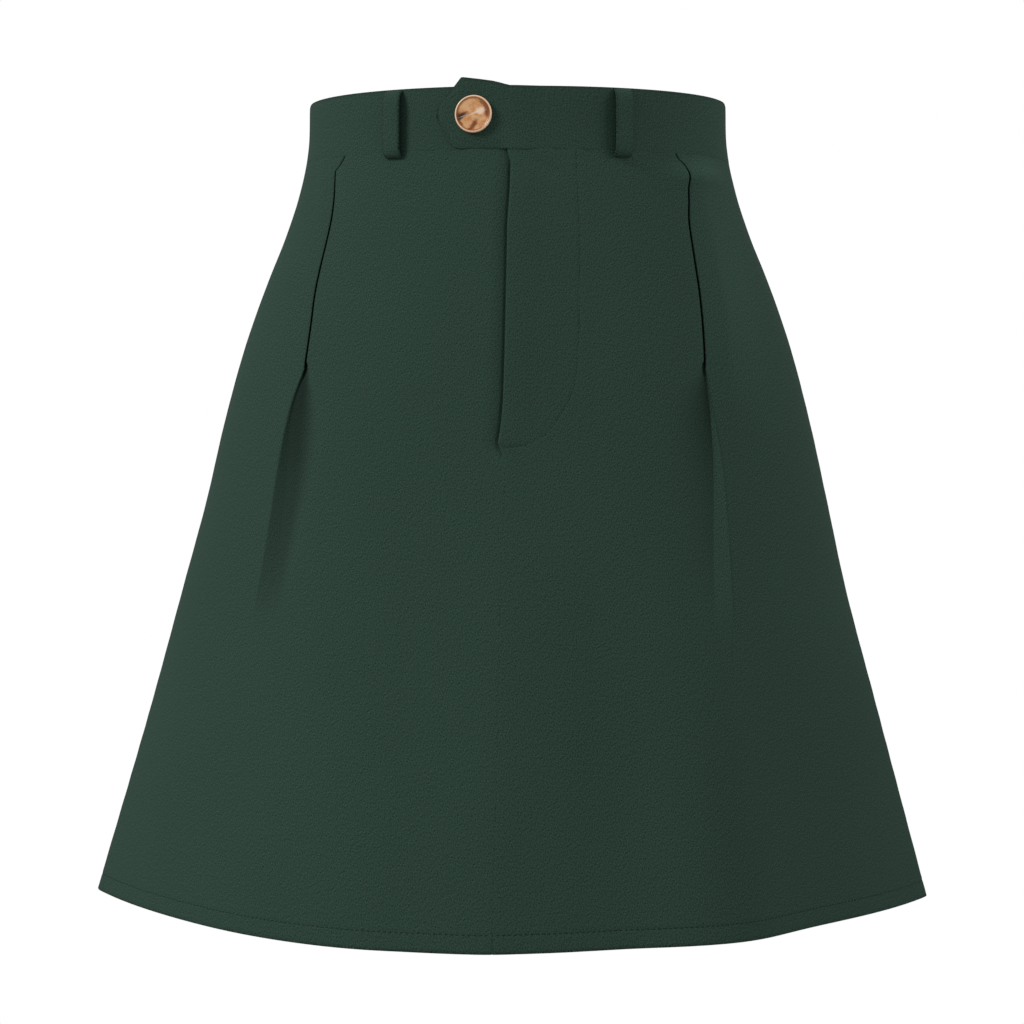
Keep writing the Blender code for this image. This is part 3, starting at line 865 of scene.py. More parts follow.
    def tuck(self, level: Array) -> tuple[Array, Array]:
        """The pleat's outline, from the centre part to the fold of the side part.

        It leaves the centre part at the mouth, sinks along a curve, depth = D t^sharp, to
        the crease, turns round it, and rises straight to the rounded fold at 0. Above the
        release the crease lies deep under the side part, so the mouth is a dark slot. Below
        it the crease comes out from under the fold and the pleat is an open valley.

        Args:
            level: (rows,).

        Returns:
            Distances from the fold line, and depths inside the surface, (rows, places).
        """
        level = level[:, None]
        name = self.side.name.lower()
        depth = np.maximum(self.PLEATS.smooth(f"deep_{name}", level), 0.0)
        mouth, crease, sharp, soft = (
            self.TUCK.straight(column, level) for column in ("mouth", name, "sharp", "round")
        )
        under = smooth((crease + 1.5) / 3.0)
        first, slope, turn, wall, nose = (part[None] for part in self.shares())
        turn = turn * math.pi
        size = np.minimum(self.CREASE_RADIUS, 0.12 * depth + 0.05)
        start, slope = 0.1, 0.1 + 0.9 * slope
        run_s, run_d = np.maximum(1.0, 1.0 / sharp), np.maximum(1.0, sharp)
        span = crease - size + mouth
        slope_s, start_s = -mouth + span * slope**run_s, -mouth + span * start**run_s
        slope_d, start_d = (depth - size) * slope**run_d, (depth - size) * start**run_d
        edge = np.minimum(self.MOUTH_ROUND, mouth / 2)
        lip = np.hypot(crease + size, depth - size) + 1e-6
        back = np.minimum(self.FOLD_START, 0.5 * lip) / lip
        lip_s, lip_d = (crease + size) * back, (depth - size) * back
        s = [
            bend(-mouth - edge, -mouth, start_s, first),
            slope_s,
            crease - size * np.cos(turn),
            crease + size + (lip_s - crease - size) * wall,
            bend(lip_s, -0.4 * under, soft, nose),
        ]
        d = [
            bend(0.0, 0.0, start_d, first),
            slope_d,
            depth - size + size * np.sin(turn) * under,
            depth - size + (lip_d - depth + size) * wall,
            bend(lip_d, 0.0, 0.0, nose),
        ]
        s, d = np.hstack(s), np.hstack(d)
        start, end = s[:, :1], s[:, -1:] + 0.5
        flat = start + (end - start) * np.linspace(0, 1, s.shape[1])[None]
        whole = smooth(depth / 0.9)
        return flat + (s - flat) * whole, d * whole

    def tuck_shade(self, level: Array) -> Array:
        """Painted shade: how much darker the open pleat is, where little light reaches it.

        The painted shade deepens down the slope and ends at the fold. On the right the wall faces
        the side light: it gets a painted highlight, with a painted shade line along the fold.

        Args:
            level: (rows,).

        Returns:
            Shades, (rows, places).
        """
        dark = self.PLEATS.smooth(f"dark_{self.side.name.lower()}", level)[:, None]
        dark = np.maximum(dark, 0.0)
        first, slope, turn, wall, nose = self.shares()
        # painted shade down the slope, round the crease and up the wall
        if self.side is Side.LEFT:
            core = smooth((slope - 0.2) / 0.56)
            ends = [1 + 0 * turn, 0.9 + 0 * wall, 0.8 * (1 - smooth(2.2 * nose))]
            return dark * np.hstack([0 * first, core, *ends])[None]
        # painted shade down the slope, a painted highlight on the wall, a painted shade line
        # along the fold
        shut = smooth(turn)
        pale = np.hstack([0 * first, 0 * slope, shut, 1 + 0 * wall, 1 - smooth(2.0 * nose)])
        line = np.hstack([0 * first, 0 * slope, 0 * turn, 0 * wall, hump(nose - 0.55, 0.22)])
        deep = np.hstack([0 * first, slope**1.9, 1 - shut, 0 * wall, 0 * nose])
        (top, top_fade), (end, end_fade) = self.PALE_TOP, self.PALE_END
        strip = smooth((top - level) / top_fade) * smooth((level - end) / end_fade)
        wall_shade = self.FOLD_LINE * line - self.PALE * pale
        return dark * deep[None] + strip[:, None] * wall_shade[None]

    def relief(self, distance: Array, level: Array, lines: Lines) -> Array:
        """How far seams, creases and stitches move the surface, without pleat and fly.

        Args:
            distance: from the centre front, (rows, places).
            level: (rows,).
            lines: the courses at those levels.

        Returns:
            Distances out, (rows, places).
        """
        rows = np.broadcast_to(level[:, None], distance.shape)
        to_side = lines.side_seam(self.side)[:, None] - distance
        out = self.hem_relief(distance, rows) + self.seam_relief(distance, rows, to_side)
        for crease in self.creases:
            out = out + crease.out(distance, rows)
        grown = 0.45 * smooth(-rows / 150.0) + 0.55 * smooth((-rows - 215.0) / 110.0)
        rounded = np.hypot(distance, self.RIDGE_ROUND) - self.RIDGE_ROUND
        out = out + self.ridge * grown * np.maximum(0.0, 1 - rounded / self.RIDGE_WIDTH) ** 1.3
        below_fly = smooth((self.LAP_END - rows) / self.FLY_FADE)
        edge = self.FLY.straight("edge", rows)
        if self.side is Side.LEFT:
            from_edge = distance + edge
            (wide, wide_run), (near, near_run) = self.UNDER_DIP, self.EDGE_DIP
            step = wide * smooth(1 - from_edge / wide_run)
            step = step + near * smooth(1.05 - from_edge / near_run)
            out = out - step * (1 - below_fly) * (1 - 0.5 * smooth((rows + 34.0) / 12.0))
        else:
            lap = smooth(1 - (distance - edge) / self.LIFT_RUN)
            out = out + self.FLY.straight("lift", rows) * lap
            from_stitch = self.from_fly_stitch(distance, rows)
            out = out - self.STITCH_DIP * hump(from_stitch, self.STITCH_WIDTH)
        return out

    def beside_fly(self, levels: Array) -> Array:
        """1 beside the fly, fading to 0 at its end, (rows, 1)."""
        return smooth((levels[:, None] - self.FLY_END) / self.FLY_FADE)

    def from_fly_stitch(self, distance: Array, level: Array) -> Array:
        """How far each place lies from the curved stitched line beside the fly."""
        line = rounded_line(np.array(self.FLY_STITCH), 160)
        near = (distance < self.FLY_REACH) & (level > -200.0)
        gap = np.full(distance.shape, 50.0)
        places = np.stack([distance[near], level[near]], axis=1)
        gap[near] = np.linalg.norm(places[:, None] - line[None], axis=2).min(axis=1)
        return gap

    def place(self, distance: Array, level: Array) -> Array:
        """Points of the surface at distances from the centre front, (rows, places, 3)."""
        lines = FORM.lines(level)
        return lines.place(self.side.value * distance, self.relief(distance, level, lines))

    def grid(self, levels: Array) -> tuple[Array, Array, Array, Array]:
        """The outer side.

        Args:
            levels: (rows,).

        Returns:
            Points (rows, columns, 3), then distances, depths of the tuck and its painted shade.
        """
        lines = FORM.lines(levels)
        fold = self.PLEATS.smooth(self.side.name.lower(), levels)
        fold = lines.at_distance(self.side, fold)[:, None]
        s, d = self.tuck(levels)
        if self.side is Side.RIGHT:
            edge = self.FLY.straight("edge", levels)[:, None] + 0.4
        else:
            above = smooth((levels - self.UNDERLAP_END) / self.UNDERLAP_FADE)
            edge = 0.1 - self.UNDERLAP * above[:, None]
        seam = lines.side_seam(self.side)[:, None] - SEAM_GAP
        tuck = fold + s
        reach = self.FLY_REACH
        to_fly = edge + (reach - edge) * graded(self.FLY_COLUMNS, 3.0, 1.0)
        to_tuck = reach + (tuck[:, :1] - reach) * graded(self.CENTRE_COLUMNS, 1.5, 3.0)
        to_seam = tuck[:, -1:] + (seam - tuck[:, -1:]) * graded(self.SIDE_COLUMNS, 3.0, 5.0)
        distance = np.hstack([to_fly[:, :-1], to_tuck[:, :-1], tuck, to_seam[:, 1:]])
        depth, darker = np.zeros_like(distance), np.zeros_like(distance)
        first = self.FLY_COLUMNS + self.CENTRE_COLUMNS - 2
        depth[:, first : first + s.shape[1]] = d
        darker[:, first : first + s.shape[1]] = self.tuck_shade(levels)
        out = self.relief(distance, levels, lines)
        if self.side is Side.RIGHT:
            turned = (self.FLY_ROUND - (distance - edge)) / self.FLY_ROUND
            out -= self.ROUND_DROP * quarter_round(turned, 0.98) * self.beside_fly(levels)
        return lines.place(self.side.value * distance, out - depth), distance, depth, darker

    def build(self, finish: Material) -> None:
        """The panel, dressed and fitted to the frame."""
        levels = skirt_levels(tuple(np.arange(*self.RELEASE_ROWS)))
        outer, distance, depth, in_pleat = self.grid(levels)
        thickness = self.thickness(levels) - self.TUCK_THINNER * smooth(depth)
        if self.side is Side.RIGHT:
            inside = smooth((self.FACING_EDGE - distance) / self.FACING_FADE)
            thickness = thickness + self.FACING * self.beside_fly(levels) * inside
        # painted shade along the hem and in the pleat, then patches of painted highlight and
        # painted shade
        darker = self.shade(levels) + in_pleat
        for patch in self.painted_light_and_shade:
            darker = darker + patch.out(distance, levels[:, None])
        name = self.side.name.lower()
        piece = cloth_wall(
            f"{name}_front_panel",
            outer,
            thickness,
            Rims(top=0.3, far=0.42, bottom=1.0, near=0.45),
            cloth_uv(outer, distance[:, 0], levels) * [self.side.value, 1.0],
            darker,
        )
        declare(piece, finish, outer, [f"front_{name}"])


@dataclass
class BackPanel(SkirtPanel):
    """The back: one piece, cut on the fold, with two darts below the waist."""

    creases: tuple[Crease, ...] = ()

    DART_TOP, DART_LEAN, DART_END = 62.0, 9.0, -128.0
    DART_DIP, DART_FOLD, DART_POINT = (0.7, 1.3), (0.35, 3.0), (0.9, 16.0)  # out, width
    HALF_COLUMNS = 105

    def relief(self, distance: Array, level: Array, to_side: Array) -> Array:
        """How far seams, darts, creases and stitches move the surface.

        Args:
            distance: from the centre back, positive towards the right side seam.
            level: of each place.
            to_side: distance to the nearest side seam.

        Returns:
            Distances out.
        """
        out = self.hem_relief(distance, level) + self.seam_relief(distance, level, to_side)
        for crease in self.creases:
            out = out + crease.out(distance, level)
        down = (SEAM_SIDE - level) / (SEAM_SIDE - self.DART_END)
        fade = smooth((1.02 - down) / 0.12)
        (dip, dip_width), (fold, fold_width) = self.DART_DIP, self.DART_FOLD
        point, point_width = self.DART_POINT
        for side in Side:
            from_dart = side.value * distance - self.DART_TOP - self.DART_LEAN * down
            out = out - dip * hump(from_dart, dip_width) * fade
            out = out + fold * hump(from_dart - 3.5, fold_width) * fade
            out = out + point * hump(from_dart, point_width) * hump(down - 1.06, 0.22)
        return out

    def place(self, distance: Array, level: Array) -> Array:
        """Points of the surface at distances from the centre back, positive to the right."""
        lines = FORM.lines(level)
        left, right = (lines.centre_back(side)[:, None] for side in Side)
        lengths = np.where(distance >= 0, right, -left) - distance
        left, right = (lines.side_seam(side)[:, None] for side in Side)
        to_side = np.abs(lengths) - np.where(distance >= 0, right, left)
        rows = np.broadcast_to(level[:, None], distance.shape)
        return lines.place(lengths, self.relief(distance, rows, to_side))

    def grid(self, levels: Array) -> tuple[Array, Array]:
        """The outer side from the right seam to the left one, and each place's distance."""
        lines = FORM.lines(levels)
        half = graded(self.HALF_COLUMNS, 1.0, 6.0)
        left, right = (
            (lines.centre_back(side) - lines.side_seam(side) - SEAM_GAP)[:, None] for side in Side
        )
        distance = np.hstack([right * half[::-1], -left * half[1:]])
        return self.place(distance, levels), distance

    def build(self, finish: Material) -> None:
        """The panel, dressed and fitted to the frame."""
        levels = skirt_levels()
        outer, distance = self.grid(levels)
        piece = cloth_wall(
            "back_panel",
            outer,
            self.thickness(levels),
            Rims(top=0.25, far=0.42, bottom=1.0, near=0.42),
            cloth_uv(outer, -distance[:, 0], levels),
            self.shade(levels),
        )
        declare(piece, finish, outer, ["back"])


# ---------------------------------------------------------------- waistband


@dataclass
class Waistband:
    """Half of the waistband. The right half runs on as the pointed tab."""

    side: Side
    cloth: float = 2.0
    tab_gap: float = 0.4
    tab_run: float = 20.0

    TAB = Table(
        """length top bottom
        0.0 11.7 -24.3
        -2.1 12.1 -24.2
        -5.5 13.1 -24.1
        -9.6 14.1 -24.0
        -18.0 15.4 -23.9
        -27.3 16.7 -23.8
        -27.9 16.3 -23.8
        -30.0 13.7 -23.4
        -32.0 11.3 -22.6
        -34.5 8.6 -20.2
        -36.5 6.4 -16.2
        -39.0 3.8 -11.2
        -41.2 1.5 -6.8
        -42.0 0.4 -5.0"""
    )
    TIP = -42.0
    ROWS = 27
    LOW, HIGH = -0.2, BAND_HEIGHT - 1.0
    CROWN, TOP_ROUND, ROUND_START = 0.35, 0.45, 0.93
    WAVE, WAVE_LENGTH = 0.10, 17.0
    CLOSER = 0.35  # share of the rows' crowding towards the edges
    TIP_RUN, LAP_RUN = 16.0, 6.0
    LOW_SINK, TIP_SINK = 1.15, 0.45
    # painted shade along the band's top edge and the tab's outline
    EDGE_SHADE = 0.35

    def edges(self, lines: Lines, lengths: Array) -> tuple[Array, Array]:
        """Heights of the band's top and bottom edges at each length.

        Args:
            lines: the courses of its bottom and top rows.
            lengths: (places,) from the centre front, below 0 in the tab.

        Returns:
            The bottom and top heights.
        """
        points = lines.place(np.repeat(self.side.value * lengths[None], 2, axis=0))
        bottom, top = points[0, :, 2], points[1, :, 2]
        if self.side is Side.RIGHT:
            in_tab = lengths < 0
            bottom = np.where(in_tab, self.TAB.straight("bottom", lengths), bottom)
            top = np.where(in_tab, self.TAB.straight("top", lengths), top)
        return bottom, top

    def lengths(self, end: float) -> Array:
        """The columns, from the tab's tip or the centre front to the centre back."""
        if self.side is Side.LEFT:
            return 0.5 + (end - 1.0) * graded(150, 4.0, 4.0)
        tip = self.TIP * (1 - graded(60, 3.0, 1.0))
        return np.concatenate([tip[:-1], (end - 0.5) * graded(150, 2.0, 4.0)])

    def build(self, finish: Material) -> None:
        """The half band, dressed and fitted to the frame."""
        rows = np.linspace(0, 1, self.ROWS)
        share = self.CLOSER * (0.5 - 0.5 * np.cos(math.pi * rows)) + (1 - self.CLOSER) * rows
        rise = self.LOW + (self.HIGH - self.LOW) * share
        lines = FORM.lines(SEAM_SIDE + rise)
        back = lines.centre_back(self.side)[:, None]
        middle = float(back.mean())
        lengths = self.lengths(middle)
        ends = FORM.lines(SEAM_SIDE + np.array([self.LOW, self.HIGH]))
        bottom, top = self.edges(ends, lengths)
        turned = (share - self.ROUND_START) / (1 - self.ROUND_START)
        round_top = self.TOP_ROUND * quarter_round(turned, 0.95)
        crown = self.CROWN * np.sin(math.pi * share) ** 0.7
        wave = self.WAVE * np.sin(lengths / self.WAVE_LENGTH) * np.sin(math.pi * share)[:, None]
        out, thin = (crown - round_top)[:, None] + wave, np.zeros_like(wave)
        if self.side is Side.RIGHT:
            in_tab = smooth(1 - lengths / self.tab_run)
            from_tip = lengths - self.TIP
            run = from_tip / self.TIP_RUN
            thin = thin + in_tab + 0.2 * smooth(1 - run)
            low = self.LOW_SINK * hump(share, 0.10)[:, None] * smooth(run - 0.3)
            sink = smooth(-lengths / self.LAP_RUN) * (low + self.TIP_SINK * hump(from_tip, 2.2))
            out = out + (self.cloth + self.tab_gap) * in_tab - thin - sink
        places = lengths[None] + (back - middle) * smooth(2 * lengths / middle - 1)[None]
        grid = lines.place(self.side.value * places, out)
        grid[..., 2] = bottom[None] + (top - bottom)[None] * share[:, None]
        grid = grid[::-1]
        uv = cloth_uv(grid, np.full(self.ROWS, lengths[0]), rise) * [self.side.value, 1.0]
        uv[..., 1] = grid[..., 2]
        high = (top - bottom)[None]
        # painted shade: darker along the top edge, at the tab's tip and along the tab's lower
        # edge
        edge = hump((1 - share)[:, None] * high, 1.0) + hump(lengths - self.TIP, 1.0)[None]
        edge = edge + 0.3 * smooth(-lengths / self.LAP_RUN) * hump(share[:, None] * high, 1.0)
        name = self.side.name.lower()
        piece = cloth_wall(
            f"{name}_waistband",
            grid,
            self.cloth - thin[::-1],
            Rims(top=0.95, far=0.5, bottom=0.3, near=0.5),
            uv,
            self.EDGE_SHADE * np.clip(edge, 0, 1)[::-1],
            steps=5,
        )
        declare(piece, finish, grid, [f"waistband_{name}"])


@dataclass
class BeltLoop:
    """A belt loop: a strap that stands off the band, folded under at both ends."""

    name: str
    node: str
    length: float
    width: float = 11.2
    cloth: float = 1.4

    COLUMNS = 13
    CROWN, EDGE_DIP, EDGE_SHADE = 0.12, 0.10, 0.25
    PATH = (
        (17.4, 0.45), (16.9, 1.5), (15.8, 2.9), (13.8, 4.2), (11.0, 5.0), (7.0, 5.4),
        (1.0, 5.5), (-5.0, 5.5), (-11.0, 5.4), (-15.8, 5.1), (-18.9, 4.4), (-20.9, 3.3),
        (-22.0, 1.9), (-22.3, 0.6),
    )

    def build(self, finish: Material) -> None:
        """The strap: its path swept across its width, slightly crowned."""
        path = rounded_line(np.array(self.PATH), 64)
        share = np.linspace(-1, 1, self.COLUMNS)
        across = (self.width / 2 - 0.7) * share
        lines = FORM.lines(path[:, 0])
        out = path[:, 1:] + self.CROWN * (1 - share**2)[None]
        out = out - self.EDGE_DIP * np.abs(share[None]) ** 6
        lengths = self.length + np.repeat(across[None], len(path), axis=0)
        grid = lines.place(lengths, out)
        run = running(grid[:, self.COLUMNS // 2])
        uv = np.stack(np.broadcast_arrays(across[None] + self.length, -run[:, None]), axis=2)
        # painted shade along the strap's side edges
        darker = self.EDGE_SHADE * hump(np.abs(share) - 1, 0.10)[None]
        piece = cloth_wall(self.name, grid, self.cloth, Rims(0.5, 0.7, 0.5, 0.7), uv, darker, 4)
        declare(piece, finish, grid, [self.node])


# ---------------------------------------------------------------- behind the fly


@dataclass
class FlyShield:
    """The cloth shield behind the zip."""

    left: float = -12.0
    right: float = 36.0
    depth: float = 4.3
    cloth: float = 0.8
    end: float = -210.0

    CORNER, RIPPLE = 14.0, 0.25

    def build(self, finish: Material) -> None:
        """A strip with a rounded lower corner, rippled a little."""
        levels = np.linspace(SEAM_SIDE - 0.9, self.end + 0.6, 90)
        share = np.linspace(0, 1, 30)
        turned = (self.end + self.CORNER - levels) / (self.CORNER + 0.4)
        corner = self.CORNER * quarter_round(turned)
        width = self.right - self.left - 1.2 - corner
        lengths = self.left + 0.6 + width[:, None] * share[None]
        ripple = self.RIPPLE * np.sin(levels / 11.0)[:, None] * np.sin(math.pi * share)[None]
        grid = FORM.lines(levels).place(lengths, ripple - self.depth - 0.1)
        uv = cloth_uv(grid, lengths[:, 0], levels)
        piece = cloth_wall("fly_shield_cloth", grid, self.cloth, Rims(0.4, 0.5, 0.5, 0.5), uv)
        declare(piece, finish, grid, ["fly_shield"])


@dataclass
class Zip:
    """The closed zip: woven tape, two rows of moulded teeth, a slider and a bottom stop."""

    left: float = -9.0
    right: float = 14.0
    depth: float = 3.3
    end: float = -200.0
    pitch: float = 1.9

    TOOTH = (1.7, 0.36, 0.42)  # half sizes along, down and out
    TOOTH_SHIFT = 0.9
    CORD, CORD_AT = 0.25, 2.9

    def tape(self, finish: Material) -> None:
        """The tape, with a raised cord along each side of the teeth."""
        levels = np.linspace(SEAM_SIDE - 0.8, self.end + 0.4, 120)
        lengths = np.linspace(self.left + 0.4, self.right - 0.4, 47)
        middle = (self.left + self.right) / 2
        cord = self.CORD * hump(np.abs(lengths - middle) - self.CORD_AT, 0.5)
        out = np.repeat((cord - self.depth - 0.1)[None], len(levels), axis=0)
        places = np.repeat(lengths[None], len(levels), axis=0)
        grid = FORM.lines(levels).place(places, out)
        uv = cloth_uv(grid, places[:, 0], levels)
        piece = cloth_wall("zip_tape_strip", grid, 0.55, Rims(0.28, 0.28, 0.28, 0.28), uv)
        declare(piece, finish, grid, ["zip"], "zip_tape")

    def blocks(self, name: str, spots: Array, sizes: Array, finish: Material) -> None:
        """Small blocks on the zip's inner side: two rings of four corners, the outer smaller.

        Args:
            name: the piece's name.
            spots: (blocks, 3) middle length, level and distance out.
            sizes: (blocks, 3) half sizes along, down and out.
            finish: their material.
        """
        corner = np.array(
            [(a, b, c) for c in (-1, 1) for a, b in ((-1, -1), (1, -1), (1, 1), (-1, 1))], float
        )
        corner[:4, :2] *= 0.7
        places = spots[:, None] + corner[None] * sizes[:, None]
        flat = places.reshape(-1, 3)
        points = FORM.lines(flat[:, 1]).place(flat[:, :1], flat[:, 2:])[:, 0]
        faces = np.array(
            [(0, 1, 2, 3), (7, 6, 5, 4), (0, 4, 5, 1), (1, 5, 6, 2), (2, 6, 7, 3), (3, 7, 4, 0)]
        )
        faces = (faces[None] + 8 * np.arange(len(spots))[:, None, None]).reshape(-1, 4)
        piece = make_mesh(name, points, [faces], flat[:, :2])
        piece.data.shade_flat()
        dress(piece, finish, "zip_tape")

    def build(self, tape: Material, teeth: Material) -> None:
        """Tape, teeth, slider and stop."""
        self.tape(tape)
        middle = (self.left + self.right) / 2
        levels = np.arange(-34.0, self.end + 6.0, -self.pitch / 2)
        shift = np.where(np.arange(len(levels)) % 2 == 0, -self.TOOTH_SHIFT, self.TOOTH_SHIFT)
        out = np.full(len(levels), -self.depth - 0.75)
        spots = np.stack([middle + shift, levels, out], axis=1)
        sizes = np.tile(self.TOOTH, (len(levels), 1))
        self.blocks("zip_teeth", spots, sizes, teeth)
        fittings = np.array(
            [
                (middle, -29.0, -self.depth - 0.85),
                (middle, -36.5, -self.depth - 1.0),
                (middle, self.end + 4.0, -self.depth - 0.75),
            ]
        )
        shapes = np.array([(3.4, 3.9, 0.55), (1.9, 5.4, 0.22), (2.6, 1.3, 0.45)])
        self.blocks("zip_slider", fittings, shapes, teeth)


# ---------------------------------------------------------------- button


@dataclass
class Button:
    """The turned button on the tab: a raised rim round a dished face, on a shank."""

    reach: float = 20.1
    height: float = -4.6
    out: float = 2.2
    sides: int = 96
    PROFILE = (
        (0.0, 1.75), (3.0, 1.76), (6.0, 1.80), (8.3, 1.92), (9.2, 2.12), (9.7, 2.42),
        (10.1, 2.55), (10.5, 2.40), (10.75, 1.95), (10.8, 1.4), (10.4, 0.75), (9.4, 0.22),
        (7.4, 0.0), (3.0, 0.0), (2.55, -0.5), (2.5, -1.9), (0.0, -1.95),
    )

    def build(self, finish: Material) -> None:
        """The profile turned about the button's own axis, with closed poles."""
        inner = np.array(self.PROFILE)[1:-1]
        line = rounded_line(inner, 90)
        turn = 2 * math.pi * np.arange(self.sides) / self.sides
        x, y = (line[:, :1] * part for part in (np.cos(turn), np.sin(turn)))
        height = np.repeat(line[:, 1:], self.sides, axis=1)
        local = np.stack([x, y, height], axis=2).reshape(-1, 3)
        local = np.vstack([local, (0, 0, self.PROFILE[0][1]), (0, 0, self.PROFILE[-1][1])])
        lines = FORM.lines(np.array([0.0]))
        spot = lines.place(np.array([[-self.reach]]), self.out)[0, 0]
        ahead = spot - lines.place(np.array([[-self.reach]]), self.out - 1)[0, 0]
        ahead[2] = 0
        ahead = unit(ahead)
        across = np.array([-ahead[1], ahead[0], 0.0])
        spot[2] = self.height
        points = spot + local @ np.stack([across, (0.0, 0.0, 1.0), ahead])
        index = np.arange(len(line) * self.sides).reshape(len(line), self.sides)
        top, low = (np.full(self.sides, len(points) - from_end) for from_end in (2, 1))
        after = np.roll(index, -1, axis=1)
        caps = joined(index[0], after[0], top), joined(after[-1], index[-1], low)
        piece = make_mesh("waist_button", points, [ring_quads(index), *caps], local[:, :2])
        dress(piece, finish, "horn")
        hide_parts("button")


# ---------------------------------------------------------------- shorts


@dataclass
class ShortsPanel:
    """A quarter of the plain shorts: the skirt's own section moved in, then a leg."""

    face: Face
    side: Side
    cloth: float = 0.8

    EASE = Table(
        """height ease
        -11.0 2.4
        -18.5 5.0
        -26.0 6.4
        -45.0 8.6
        -60.0 10.0
        -100.0 12.5
        -150.0 16.0
        -246.0 24.0"""
    )
    LEGS = Table(
        """height inside outside front back
        -246.0 1.0 172.0 88.0 98.0
        -335.0 12.0 177.0 87.0 93.0"""
    )
    TOP, LEG_START, CROTCH, HEM = -11.5, -140.0, -246.0, -335.0
    LEG_POWER = 2.2
    HALF_GAP = 0.42
    GROOVE, SEAM_DIP, SEAM_WIDTH = 0.35, 0.5, 1.8
    CROTCH_WAVE, LEG_WAVE = 0.9, 0.5
    CROTCH_REACH, CROTCH_SPREAD = 34.0, 46.0
    SEAM_FADE, HEM_FADE = 14.0, 30.0
    HEM_ROWS = (12.0, 11.4, 10.8, 10.2, 9.6, 8.4, 6.0, 3.5, 2.0, 1.1)
    COLUMNS = 61

    def place(self, share: Array, level: Array) -> Array:
        """Points from the centre seam, share 0, to the side seam, share 1.

        Args:
            share: (rows, places).
            level: (rows,).

        Returns:
            Points, (rows, places, 3): the hip's section, mixed into half an ellipse.
        """
        lines = FORM.lines(level)
        rows = level[:, None]
        if self.face is Face.FRONT:
            centre = self.side.value * lines.length[:, MIDDLE][:, None]
        else:
            centre = lines.centre_back(self.side)[:, None]
        lengths = centre + (lines.side_seam(self.side)[:, None] - centre) * share
        face, side = self.face.value, self.side.value
        hip = lines.place(side * lengths, -self.EASE.smooth("ease", rows))
        hip[..., 0] -= FORM.SECTIONS.smooth("sway", rows)
        inside, outside = (self.LEGS.straight(name, rows) for name in ("inside", "outside"))
        depth = self.LEGS.straight(self.face.name.lower(), rows)
        x = (inside + outside - (outside - inside) * np.cos(math.pi * share)) / 2
        leg = np.stack([side * x, -face * depth * np.sin(math.pi * share), hip[..., 2]], axis=2)
        turned = np.clip((self.LEG_START - rows) / (self.LEG_START - self.CROTCH), 0, 1)
        return self.clear(hip + (leg - hip) * (turned**self.LEG_POWER)[..., None])

    def clear(self, points: Array) -> Array:
        """The points, kept off the middle so that no panel touches the next one."""
        for axis, way in ((0, self.side.value), (1, -self.face.value)):
            points[..., axis] = way * np.maximum(way * points[..., axis], self.HALF_GAP)
        return points

    def build(self, finish: Material) -> None:
        """The panel: creases round the crotch, a turned hem and dipped seams."""
        body = np.linspace(self.TOP - 0.5, self.HEM + self.HEM_ROWS[0] + 1.0, 96)
        levels = np.concatenate([body, self.HEM + np.array(self.HEM_ROWS)])
        share = np.repeat(graded(self.COLUMNS, 3.0, 3.0)[None], len(levels), axis=0)
        base = self.place(share, levels)
        normal = surface_normals(base)
        rows = levels[:, None]
        rise = rows - self.HEM
        width = spacing(base, 1).sum(axis=1)[:, None]
        from_centre, from_side = share * width, (1 - share) * width
        out = -self.GROOVE * hump(rise - STITCH_RISE, 0.9)
        out = out - self.SEAM_DIP * hump(from_side, self.SEAM_WIDTH)
        wave = self.CROTCH_WAVE * np.sin(from_centre / 9.0 - rows / 13.0)
        near = hump(rows - self.CROTCH, self.CROTCH_REACH) * hump(from_centre, self.CROTCH_SPREAD)
        out = out + wave * near * (1 - hump(from_centre, 5.0))
        wave = self.LEG_WAVE * np.sin(rows / 16.0 + from_side / 21.0)
        inside = smooth(from_centre / self.SEAM_FADE) * smooth(from_side / self.SEAM_FADE)
        out = out + wave * inside * smooth(rise / self.HEM_FADE)
        outer = self.clear(base + normal * out[..., None])
        thickness = self.cloth + self.cloth * smooth(self.HEM + 12.2 - levels)
        uv = cloth_uv(outer, np.zeros(len(levels)), levels) * [self.side.value, 1.0]
        names = self.face.name.lower(), self.side.name.lower()
        piece = cloth_wall(
            "shorts_{}_{}".format(*names),
            outer,
            thickness[:, None],
            Rims(0.3, 0.3, 0.8, 0.3),
            uv,
        )
        band, node = f"waistband_{names[1]}", "short_{}_{}".format(*names)
        declare(piece, finish, outer, [node], "shorts_cloth")

    def hem_path(self) -> tuple[Array, Array]:
        """The stitched line above the leg's edge."""
        share = np.linspace(0.01, 0.99, 240)[None]
        points = self.place(share, np.array([self.HEM + STITCH_RISE]))[0]
        along = np.gradient(points, axis=0)
        normal = unit(np.stack([along[:, 1], -along[:, 0], 0 * along[:, 0]], axis=1))
        normal *= self.side.value * self.face.value
        return points - normal * 0.30, normal


# ---------------------------------------------------------------- finishes


